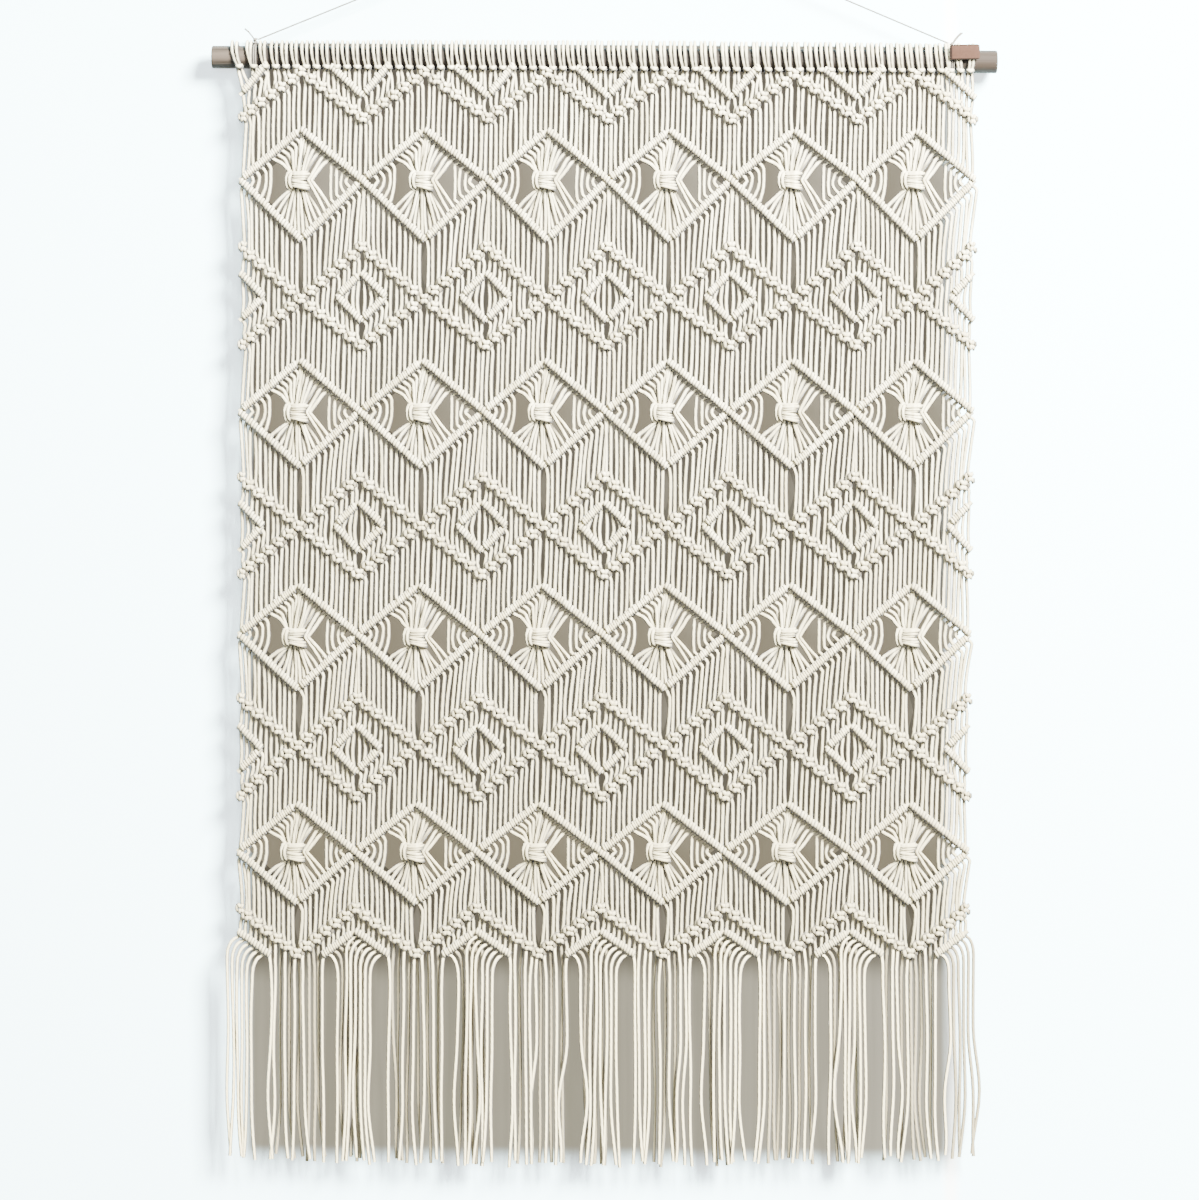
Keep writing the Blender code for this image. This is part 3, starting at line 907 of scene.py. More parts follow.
@dataclass(frozen=True, kw_only=True)
class CottonFinish(Finish):
    """Look of the cotton cord, with painted shade deep between the cords, on their flanks and undersides, and
    in the grooves of its plies.

    A facing span says how far the surface is turned to the front, from the darkest painted shade to none of
    it.
    """

    depth: ShadeDepth = ShadeDepth.PANEL
    # Painted shade deep between the cords.
    shelter_shade: Colour = (0.120, 0.106, 0.070)
    pale: Colour = (0.64, 0.595, 0.41)
    warm: Colour = (0.35, 0.310, 0.180)
    # Painted shade in the grooves between the twisted plies, and its share.
    groove_shade: Colour = (0.40, 0.37, 0.25)
    groove_shade_share: float = 0.14
    # Soft painted shade on the flanks: where it is full and where it ends, its share on the right side, and
    # the width of the turn between the sides.
    soft_flank_shade: Colour = (0.105, 0.091, 0.060)
    soft_flank_facing: Span = (0.58, 1.0)
    soft_flank_right: float = 0.65
    soft_flank_turn: float = 0.3
    # Dark painted shade along the edges of the flanks: where it is full and where it ends, with less of it on
    # the left side and more on the right.
    flank_shade: Colour = (0.011, 0.0096, 0.0068)
    flank_facing: Span = (0.24, 0.74)
    flank_left: float = 0.16
    flank_right: float = 0.10
    # Upward faces count this much more towards the front and downward ones this much less, so that undersides
    # get more painted shade.
    above: float = 0.80
    below: float = 0.06
    tone_scale: Place = (165.0, 90.0, 9.0)
    tone_span: Span = (0.36, 0.66)
    tone_share: float = 0.75
    cream: float = 0.90
    cream_span: Span = (-1.30, -0.22)
    plies: float = 3.0
    twist_per_metre: float = 95.0
    ply_depth: float = 0.00018
    fibre_scale: float = 1900.0
    fibre_depth: float = 0.00016
    roughness: float = 0.92
    specular: float = 0.2
    sheen: float = 0.25
    bump: Span = (1.0, 0.8)

    def shelter_shade_mask(self, nodes: Nodes, place: Socket) -> Socket:
        """Return a mask of painted shade that is 1 deep between the cords and 0 on the outside of the work.

        Args:
            nodes: the material's node adder.
            place: the place on the object.

        Returns:
            The mask.
        """
        x, y, z = nodes.split(place)
        pale, deep, deep_behind, pale_behind = self.depth.value
        if self.depth is ShadeDepth.HEADING:
            slope = nodes.math("MULTIPLY_ADD", x, -DOWEL.slope, z)
            rise = nodes.math("ADD", slope, -DOWEL.z(0.0))
            flat = nodes.add("ShaderNodeCombineXYZ", inputs={"X": y, "Y": rise})
            distance = nodes.add("ShaderNodeVectorMath", {"operation": "LENGTH"}, {0: flat.outputs[0]})
            return nodes.ramp(distance.outputs["Value"], deep, pale, 1.0, 0.0)
        inward = nodes.ramp(y, pale, deep)
        return nodes.math("MULTIPLY", inward, nodes.ramp(y, deep_behind, pale_behind, 1.0, 0.0))

    def flanks(self, nodes: Nodes) -> tuple[Socket, Socket]:
        """Return masks of painted shade on a cord's flanks and on their edges, both 0 where it faces forward
        or back.

        Args:
            nodes: the material's node adder.

        Returns:
            The two masks.
        """
        x, y, z = nodes.split(nodes.coordinates("Normal"))
        above = nodes.math("MULTIPLY", nodes.math("MAXIMUM", z, 0.0), self.above)
        below = nodes.math("MULTIPLY", nodes.math("MINIMUM", z, 0.0), self.below)
        facing = nodes.math("ADD", nodes.math("ABSOLUTE", y), nodes.math("ADD", above, below))
        right = nodes.math("MULTIPLY", nodes.math("MAXIMUM", x, 0.0), -self.flank_right)
        left = nodes.math("MULTIPLY", nodes.math("MINIMUM", x, 0.0), -self.flank_left)
        edge = nodes.math("ADD", facing, nodes.math("ADD", left, right))
        side = nodes.ramp(x, -self.soft_flank_turn, self.soft_flank_turn, 1.0, self.soft_flank_right, smooth=False)
        flank_shade = nodes.math("MULTIPLY", nodes.ramp(facing, *self.soft_flank_facing, 1.0, 0.0), side)
        return flank_shade, nodes.ramp(edge, *self.flank_facing, 1.0, 0.0)

    def tones(self, nodes: Nodes) -> tuple[Socket, Socket]:
        """Return the colour with its painted shade, and the relief, from UVs, normals and object coordinates.
        """
        around, along, _ = nodes.split(nodes.add("ShaderNodeUVMap", {"uv_map": "cord_uv"}).outputs[0])
        turns = nodes.math("MULTIPLY", around, self.plies)
        phase = nodes.math("MULTIPLY_ADD", along, self.twist_per_metre, turns)
        wave = nodes.math("SINE", nodes.math("MULTIPLY", phase, math.tau))
        ply = nodes.math("MULTIPLY_ADD", wave, 0.5, 0.5)
        place = nodes.coordinates()
        blotch = nodes.noise(nodes.stretch(place, self.tone_scale), 1.0, 2.0)
        tone = nodes.ramp(blotch, *self.tone_span, smooth=False)
        lower = nodes.ramp(nodes.split(place)[2], *self.cream_span, self.cream, 0.0, smooth=False)
        tone = nodes.math("MULTIPLY_ADD", tone, self.tone_share, lower)
        shade = nodes.math("MULTIPLY", nodes.math("SUBTRACT", 1.0, ply), self.groove_shade_share)
        colour = nodes.mix(shade, nodes.mix(tone, self.pale, self.warm), self.groove_shade)
        flank_shade, edge = self.flanks(nodes)
        shelter_shade_mask = self.shelter_shade_mask(nodes, place)
        # Lay painted shade over the colour: soft on the flanks, deep between the cords, dark along the
        # flanks' edges.
        for mask, tint in ((flank_shade, self.soft_flank_shade), (shelter_shade_mask, self.shelter_shade), (edge, self.flank_shade)):
            colour = nodes.mix(mask, colour, tint)
        fibre = nodes.math("MULTIPLY", nodes.noise(place, self.fibre_scale, 3.0), self.fibre_depth)
        return colour, nodes.math("MULTIPLY_ADD", ply, self.ply_depth, fibre)


@dataclass(frozen=True, kw_only=True)
class WoodFinish(Finish):
    """Look of the weathered wooden dowel, with painted shadow where the heading's cords lie over it, and
    darker at its right end.
    """

    dark: Colour = (0.0185, 0.0145, 0.0108)
    light: Colour = (0.050, 0.039, 0.030)
    right_end: Colour = (0.019, 0.0135, 0.0098)
    right_share: float = 0.8
    # Painted shadow of the heading's cords on the dowel, and the span along it where it lies.
    cord_shadow: Colour = (0.020, 0.0165, 0.0135)
    cord_shadow_span: Span = (-0.424, 0.441)
    grain: Place = (6.0, 190.0, 190.0)
    grain_span: Span = (0.36, 0.62)
    detail: float = 6.0
    roughness: float = 0.62
    specular: float = 0.1
    bump: Span = (0.0006, 0.6)

    def tones(self, nodes: Nodes) -> tuple[Socket, Socket]:
        """Return the colour and relief, from the object's coordinates."""
        place = nodes.coordinates()
        grain = nodes.noise(nodes.stretch(place, self.grain), 1.0, self.detail)
        colour = nodes.mix(nodes.ramp(grain, *self.grain_span, smooth=False), self.dark, self.light)
        across = nodes.split(place)[0]
        start, end = self.cord_shadow_span
        past_end = nodes.math("GREATER_THAN", across, end)
        # Painted shadow where the heading lies over the dowel.
        cord_shadow = nodes.math("MULTIPLY", nodes.math("GREATER_THAN", across, start),
                             nodes.math("LESS_THAN", across, end))
        colour = nodes.mix(cord_shadow, colour, self.cord_shadow)
        return nodes.mix(nodes.math("MULTIPLY", past_end, self.right_share), colour, self.right_end), grain


@dataclass(frozen=True, kw_only=True)
class PlainFinish(Finish):
    """Look of a small piece, mottled between two colours."""

    dark: Colour
    light: Colour
    scale: float = 420.0
    detail: float = 4.0
    specular: float = 0.06
    bump: Span = (0.0002, 1.0)

    def tones(self, nodes: Nodes) -> tuple[Socket, Socket]:
        """Return the colour and relief, from the object's coordinates."""
        mottle = nodes.noise(nodes.coordinates(), self.scale, self.detail)
        return nodes.mix(mottle, self.dark, self.light), mottle


class Look(Enum):
    """The looks of the object's pieces."""

    COTTON = CottonFinish()
    # The fringe, heading and knots have their own tones of painted shade.
    FRINGE = CottonFinish(depth=ShadeDepth.FRINGE, shelter_shade=(0.19, 0.165, 0.100),
                          warm=(0.56, 0.495, 0.285), flank_shade=(0.034, 0.029, 0.018))
    HEADING = CottonFinish(depth=ShadeDepth.HEADING, shelter_shade=(0.07, 0.058, 0.044))
    KNOT = CottonFinish(depth=ShadeDepth.KNOT, shelter_shade=(0.075, 0.064, 0.044), soft_flank_shade=(0.25, 0.215, 0.135))
    TWINE = PlainFinish(dark=(0.085, 0.078, 0.065), light=(0.14, 0.13, 0.112), roughness=0.85, scale=900.0)
    LEATHER = PlainFinish(dark=(0.023, 0.0105, 0.0062), light=(0.041, 0.0205, 0.0132), roughness=0.7)
    LEATHER_EDGE = PlainFinish(dark=(0.005, 0.003, 0.0022), light=(0.011, 0.006, 0.004), roughness=0.8)
    WOOD = WoodFinish()


class Workshop:
    """Holds what every builder needs: the trees, the looks and the seeded draws."""

    def __init__(self) -> None:
        """Build the trees and the materials."""
        self.strands = build_strand_tree()
        self.scatter = build_scatter_tree()
        self.looks = {look: look.value.build(f"{look.name.lower()}_look") for look in Look}
        self.draws = random.Random(SEED)

    def jitter(self, size: float) -> float:
        """Return a small random step either way."""
        return self.draws.uniform(-size, size)

    def strand_piece(self, strands: StrandSet, node: str, look: Look = Look.COTTON,
                     slot: str = "cotton_cord") -> None:
        declare(strands.build(self.strands, self.looks[look]), node)

    def scatter_piece(self, scatter: Scatter, shape: StrandSet, look: Look = Look.COTTON) -> None:
        pattern = shape.build(self.strands, self.looks[look])
        piece = scatter.build(self.scatter, pattern, self.looks[look])
        bpy.data.objects.remove(pattern, do_unlink=True)
        declare(piece, "panel")


def declare(piece: Item, node: str) -> None:
    """Let a piece ride on the body and stand for its node."""
    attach(piece, "root")
    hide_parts(node)
    if piece.type == "MESH":
        LOG.info("%s: %d triangles", piece.name, sum(len(face.vertices) - 2 for face in piece.data.polygons))


@dataclass
class Builder(ABC):
    """A sub-assembly, which takes its trees, looks and draws from the workshop."""

    workshop: Workshop

    @abstractmethod
    def build(self) -> None:
        """Build and declare its pieces."""


@dataclass
class Heading(Builder):
    """The lark's heads: two cords over the dowel for each, and the loop that holds them.

    The loop's points are in millimetres: right, back, up. The cords' span goes round the dowel from
    below it by the front. Spans named top or radius go from the left end to the right.
    """

    loop: tuple[Place, ...] = ((-1.8, 4.6, 1.0), (-2.5, 1.4, 0.4), (-1.8, -1.6, 0.0), (0.0, -2.6, -0.2),
                               (1.8, -1.6, 0.0), (2.5, 1.4, 0.4), (1.8, 4.6, 1.0))
    loop_radius: float = 0.0028
    loop_y: float = -0.0150
    half_pair: float = 0.0018
    half_pair_top: Span = (0.0030, 0.0024)
    radius: Span = (0.00200, 0.00220)
    lift: Span = (0.0026, 0.0022)
    right_lift: float = 0.0014
    span: Span = (math.radians(52), math.radians(338))
    steps: int = 12
    wander: float = 0.0004
    lift_jitter: float = 0.0006
    spread: float = 0.0005
    parting: float = 1.6
    radii: Span = (0.95, 1.04)
    tilt: float = 0.12
    twine_clear: float = 0.0046

    def over(self, pair: int, side: int) -> list[Vector]:
        """Return the path of one cord from its loop, up the front, over the dowel and under it.

        Args:
            pair: the lark's head, counted from the left.
            side: -1 for its left cord and 1 for its right one.

        Returns:
            The cord's points.
        """
        jitter = self.workshop.jitter
        wander = jitter(self.wander)
        across = pair / KNOTS
        lift = self.lift[0] + self.lift[1] * math.sin(math.pi * across) + self.right_lift * across
        lift += jitter(self.lift_jitter)
        top = blend(*self.half_pair_top, across) + jitter(self.spread)
        reach = DOWEL.radius + CORD_RADIUS
        points = []
        for step in range(self.steps + 1):
            angle = blend(*self.span, step / self.steps)
            rise = -reach * math.cos(angle)
            up = clamp((rise + HEADS.loop_drop) / (HEADS.loop_drop + DOWEL.radius))
            rise += lift * max(0.0, -math.cos(angle))
            apart = blend(self.half_pair, top, min(1.0, self.parting * up))
            x = HEADS.x(pair, -rise) + side * apart + wander * math.sin(angle)
            for knot_x in TWINE_KNOTS_X:
                if abs(x - knot_x) < self.twine_clear:
                    x = knot_x + math.copysign(self.twine_clear, x - knot_x)
            points.append(Vector((x, -reach * math.sin(angle), DOWEL.z(x) + rise)))
        return points

    def build(self) -> None:
        """Build every lark's head."""
        strands = StrandSet("heading_cords")
        for pair in range(KNOTS):
            radius = blend(*self.radius, pair / KNOTS)
            for side in (-1, 1):
                strands.add(self.over(pair, side), radius * self.workshop.draws.uniform(*self.radii))
            x = HEADS.x(pair, HEADS.loop_drop)
            centre = Vector((x, self.loop_y, DOWEL.z(x) - HEADS.loop_drop))
            tilt = self.workshop.jitter(self.tilt)
            loop = [Vector((a, b, c + a * tilt)) * MILLIMETRE + centre for a, b, c in self.loop]
            strands.add(loop, self.loop_radius)
        self.workshop.strand_piece(strands, "heading", Look.HEADING)


@dataclass
class PanelCords(Builder):
    """The cords that hang from the heading and run through every row.

    Start has half a pair's width, the depth and the reach at the heading. A free run that is shorter
    than the first of the step lengths has 2 steps, or 4 if shorter than the second, and else 5.
    """

    start: Place = (0.0022, -0.004, 0.002)
    layer: float = 0.0003
    layer_rate: float = 4.0
    layer_jitter: float = 0.0003
    wander: float = 0.0010
    radius: Span = (0.90, 1.05)
    two_knots: float = 0.002
    shortest: float = 0.003
    shoulder_from: float = 0.012
    shoulder_steps: Series = (0.0024, 0.0052, 0.0095)
    shoulder_drop: float = 0.0052
    shoulder_start: float = 0.16
    tuck_drop: float = 0.0075
    step_lengths: Span = (0.016, 0.040)
    bow_steps: int = 6
    closest: float = 0.0012
    entry: Span = (0.35, 0.65)
    least_step: float = 0.07
    shoulder_fade: float = 1.3

    def path(self, number: int, levels: Iterable[Level]) -> list[Vector]:
        """Return a cord's points from the heading to its last row.

        Args:
            number: the cord, counted from the left.
            levels: the rows from the top down.

        Returns:
            The points.
        """
        side = 1 if number % 2 else -1
        half_pair, depth, reach = self.start
        drop = HEADS.loop_drop
        x = HEADS.x(number // 2, drop) + half_pair * side
        places: list[Place] = [(x, drop, depth)]
        leaving = Crossing(drop, drop, x, x, reach)
        for level in levels:
            crossing = level.crossing(number)
            if crossing is None:
                continue
            layer = self.layer * side + self.workshop.jitter(self.layer_jitter)
            places += self.free_run(leaving, crossing, layer)
            ends = crossing.x_in, crossing.x_out
            places.append((blend(*ends, self.entry[0]), crossing.drop_in, crossing.depth))
            if crossing.drop_out > crossing.drop_in + self.two_knots:
                places.append((blend(*ends, self.entry[1]), crossing.drop_out, crossing.depth))
            leaving = crossing
        return self.lift(places)

    def marks(self, leaving: Crossing, length: float) -> list[float]:
        """Return the shares of a free run at which it has points.

        Args:
            leaving: the row above it.
            length: its length.

        Returns:
            The shares, from 0 to 1.
        """
        marks = [0.0]
        if (leaving.shoulder or leaving.tuck) and length > self.shoulder_from:
            marks += [step / length for step in self.shoulder_steps]
        short, middling = self.step_lengths
        steps = 2 if length < short else 4 if length < middling else 5
        if leaving.bow and not leaving.shoulder:
            steps = self.bow_steps
        marks += [step / steps for step in range(1, steps) if step / steps > marks[-1] + self.least_step]
        return [*marks, 1.0]

    def grown(self, mark: float) -> float:
        """Return how far a cord is in its layer, from 0 at a row to 1 in the middle of a run."""
        return clamp(self.layer_rate * min(mark, 1.0 - mark))

    def free_run(self, leaving: Crossing, arriving: Crossing, layer: float) -> list[Place]:
        """Return the free cord between two rows.

        Args:
            leaving: the row that it leaves.
            arriving: the row that it reaches.
            layer: how far it lies behind or before its neighbours.

        Returns:
            Its points as (x, drop, depth).
        """
        start, end = leaving.drop_out + leaving.reach, arriving.drop_in - arriving.reach
        length = end - start
        if length < self.shortest:
            return []
        wander = self.workshop.jitter(self.wander)
        found = []
        for mark in self.marks(leaving, length):
            eased = math.sin(clamp(mark * length / self.shoulder_drop) * math.pi / 2)
            if mark == 0.0:
                eased = (1.0 - 0.5 * eased) * self.shoulder_start
            hump = leaving.shoulder * eased * (1.0 - mark) ** self.shoulder_fade
            swell = math.sin(math.pi * mark**leaving.sink)
            x = blend(leaving.x_out, arriving.x_in, mark) + hump + (leaving.bow + wander) * swell
            depth = blend(leaving.depth, arriving.depth, mark) + layer * self.grown(mark)
            depth += leaving.tuck * (1.0 - clamp(mark * length / self.tuck_drop))
            found.append((x, start + length * mark, depth))
        return found

    def lift(self, places: Iterable[Place]) -> list[Vector]:
        """Turn (x, drop, depth) into points, leaving out any that would go back up.

        Args:
            places: the cord's places.

        Returns:
            The points.
        """
        points: list[Vector] = []
        last = -1.0
        for x, drop, depth in places:
            if drop >= last + self.closest:
                points.append(GRID.point(x, drop, depth))
                last = drop
        return points

    def build(self) -> None:
        """Build the cords as a left and a right piece."""
        levels = PATTERN.levels()
        for side, first in (("left", 0), ("right", CORDS // 2)):
            strands = StrandSet(f"panel_cords_{side}")
            for number in range(first, first + CORDS // 2):
                path = self.path(number, levels)
                strands.add(path, CORD_RADIUS * self.workshop.draws.uniform(*self.radius))
            self.workshop.strand_piece(strands, "panel")


@dataclass(frozen=True)
class Hitch:
    """One wrap of a clove hitch: a ring, its slant, how far out it lies and the pitch between wraps."""

    half_height: float
    half_depth: float
    radius: float
    slant: float
    out: float
    pitch: float

    def ring(self, name: str, steps: int = 8) -> StrandSet:
        """Return the closed ring that it makes."""
        shape = StrandSet(name, sides=5)
        angles = [math.tau * step / steps + math.pi / 2 for step in range(steps)]
        points = [(0.0, self.half_depth * math.sin(a), self.half_height * math.cos(a)) for a in angles]
        shape.add(points, self.radius, closed=True)
        return shape


@dataclass
class CloveHitches(Builder):
    """The bars: wraps of clove hitches round their holding cords."""

    falling: Hitch = Hitch(0.0031, 0.0036, 0.00226, math.radians(-12), -0.0024, 0.0040)
    rising: Hitch = Hitch(0.0029, 0.0040, 0.00240, math.radians(14), -0.0014, 0.0030)
    core_radius: float = 0.0030
    clear: float = 0.0060
    shares: Span = (0.98, 1.03)
    sizes: Span = (0.95, 1.05)
    stray: float = 0.0003
    tilt: float = 0.07

    def wraps(self, line: BarLine, pitch: float) -> list[tuple[Vector, float]]:
        """Return the place and bearing of each wrap along a run.

        Args:
            line: the run.
            pitch: distance between wraps.

        Returns:
            Each wrap's middle and bearing, without those that another run would cover.
        """
        points, crossed = line.points(), line.crossed()
        total = sum((after - before).length for before, after in zip(points, points[1:]))
        count = max(round(total / pitch), 2)
        found = []
        for number in range(count):
            remaining = total * (number + 0.5) / count
            for before, after in zip(points, points[1:]):
                step = after - before
                if remaining <= step.length or after is points[-1]:
                    place = before + step * (remaining / step.length)
                    clear = all((place - point).length > self.clear for point in crossed)
                    if clear or line.lean is Lean.FALLING:
                        found.append((place, math.atan2(step.z, step.x)))
                    break
                remaining -= step.length
        return found

    def build(self) -> None:
        """Build the wraps of the falling and the rising runs, and their holding cords."""
        draws, jitter = self.workshop.draws, self.workshop.jitter
        cores = StrandSet("holding_cords")
        for lean, hitch in ((Lean.FALLING, self.falling), (Lean.RISING, self.rising)):
            name = lean.name.lower()
            scatter = Scatter(f"hitches_{name}")
            for line in (line for line in PATTERN.lines() if line.lean is lean):
                for index, (place, bearing) in enumerate(self.wraps(line, hitch.pitch)):
                    shift = Vector((jitter(self.stray), hitch.out, jitter(self.stray)))
                    slant = hitch.slant + jitter(self.tilt)
                    size = draws.uniform(*self.sizes) * self.shares[index % 2]
                    scatter.copies.append((place + shift, (0.0, -bearing + slant, 0.0), (1.0, size, size)))
                out = Vector((0.0, hitch.out, 0.0))
                cores.add([point + out for point in line.points()], self.core_radius)
            self.workshop.scatter_piece(scatter, hitch.ring(f"wrap_{name}"))
        self.workshop.strand_piece(cores, "panel")


@dataclass
class SquareKnots(Builder):
    """The zigzag rows of square knots, whose points are in millimetres: right, back, up."""

    cords: tuple[tuple[Place, ...], ...] = (
        ((-4.6, 0.8, 4.4), (-5.4, -3.0, 2.4), (-5.5, -3.4, -1.0), (-4.6, 0.4, -4.0)),
        ((-2.8, 0.2, 5.2), (-1.8, -4.0, 3.9), (-0.2, -5.0, 2.6), (1.2, -3.2, 1.0)),
        ((4.9, 0.8, 4.4), (4.3, -3.6, 3.3), (2.8, -4.8, 2.2), (1.4, -3.2, 0.8)),
        ((-2.6, 0.4, -5.4), (-1.7, -3.9, -3.9), (-0.1, -4.9, -2.6), (1.2, -3.2, -0.8)),
        ((4.9, 1.0, -5.4), (4.3, -3.4, -3.9), (2.8, -4.6, -2.7), (1.4, -3.2, -1.0)),
    )
    link: tuple[Place, ...] = ((5.6, 1.2, 2.6), (7.5, -2.0, 1.6), (7.6, -1.8, -0.6), (6.0, 1.2, -2.0))
    link_drop: float = 5.0
    link_shift: float = -0.2
    nudge: float = 0.01
    radii: Series = (0.0021, 0.0029, 0.0029, 0.0021)
    out: float = -0.0008
    edge_size: float = 0.74
    widths: Span = (0.95, 1.04)
    depths: Span = (0.95, 1.05)
    heights: Span = (0.96, 1.05)
    turns: Place = (0.08, 0.09, 0.10)
    stray: float = 0.0005

    def shape(self, lean: Lean) -> StrandSet:
        """Return one square knot, its link to the next one lower on a falling row."""
        knot = StrandSet(f"square_knot_{lean.name.lower()}")
        drop = self.link_drop if lean is Lean.FALLING else 0.0
        for path in (*self.cords, tuple((x + self.link_shift * drop, y, z - drop) for x, y, z in self.link)):
            knot.add([Vector(point) * MILLIMETRE for point in path], self.radii)
        return knot

    def places(self) -> dict[Lean, list[tuple[float, float, bool]]]:
        """Return the x and drop of every knot by the lean of its row, and whether it is at an edge."""
        found: dict[Lean, list[tuple[float, float, bool]]] = {lean: [] for lean in Lean}
        for row in PATTERN.levels():
            if not isinstance(row, ZigzagKnots):
                continue
            shared_above = row.seam > row.axis and row is not PATTERN.first_knots
            for knot in range(KNOTS + 1):
                if shared_above and knot % KNOTS_PER_REPEAT == KNOTS_PER_REPEAT // 2:
                    continue
                lean = row.lean((knot + self.nudge) / KNOTS_PER_REPEAT)
                found[lean].append((*row.knot_place(knot), knot in (0, KNOTS)))
        return found

    def build(self) -> None:
        """Build the knots of the falling and the rising rows."""
        draws, jitter = self.workshop.draws, self.workshop.jitter
        for lean, places in self.places().items():
            scatter = Scatter(f"square_knots_{lean.name.lower()}")
            for x, drop, edge in places:
                width = self.edge_size if edge else draws.uniform(*self.widths)
                place = GRID.point(x, drop, self.out + jitter(self.stray))
                turn = tuple(jitter(most) for most in self.turns)
                size = (width, draws.uniform(*self.depths), draws.uniform(*self.heights))
                scatter.copies.append((place, turn, size))
            self.workshop.scatter_piece(scatter, self.shape(lean), Look.KNOT)


@dataclass
class BigKnots(Builder):
    """The big knot in the middle of each large diamond, in millimetres but for the radius and stray.

    Each wrap has its left end, right end, reach to the right and front, and each pillar at its left
    side its middle, front and half height.
    """

    wraps: tuple[tuple[float, float, float, float], ...] = (
        (8.5, 9.4, 9.2, -8.2), (6.1, 7.5, 11.6, -9.6), (3.5, 4.5, 9.4, -9.0), (0.9, 2.0, 7.6, -8.0),
        (-1.7, -3.3, 8.4, -9.8), (-4.3, -6.7, 10.6, -9.2), (-6.8, -10.3, 10.8, -9.4))
    pillars: tuple[Place, ...] = ((-15.3, -5.8, 11.4), (-11.6, -8.2, 10.2))
    radius: float = 0.0023
    stray: float = 0.0008
    jitters: Span = (0.3, 0.5)

    def cords(self) -> list[list[Place]]:
        """Return the working cords of one knot: right, back, up."""
        jitter = self.workshop.jitter
        small, large = self.jitters
        found = []
        for left, right, reach, front in self.wraps:
            up, down = left + jitter(small), right + jitter(large)
            reach += jitter(large)
            near, middle, far = (blend(up, down, share) for share in (0.15, 0.50, 0.82))
            found.append([(-9.6, 0.5, up), (-8.4, -5.2, up + 0.2), (-4.0, front + 1.0, near),
                          (1.4, front, middle), (reach * 0.66, front + 1.0, far),
                          (reach - 0.6, -4.6, down), (reach, 0.5, down)])
        for x, front, half in self.pillars:
            lean = jitter(large)
            found.append([(x + 5.0 + lean, -1.0, half), (x + 1.8, front + 2.0, half * 0.78),
                          (x, front, half * 0.3), (x - 0.1, front, -half * 0.2),
                          (x + 1.0, front + 0.6, -half * 0.66), (x + 4.6 + lean, -1.0, -half * 1.02)])
        return found

    def build(self) -> None:
        """Build every big knot."""
        strands = StrandSet("big_knots")
        for _, _, drop, _ in PATTERN.large:
            for repeat in range(REPEATS):
                x = GRID.x(repeat + 0.5, drop) + INTERIOR.knot_x + self.workshop.jitter(self.stray)
                centre = GRID.point(x, drop)
                for path in self.cords():
                    strands.add([centre + Vector(point) * MILLIMETRE for point in path], self.radius)
        self.workshop.strand_piece(strands, "panel")


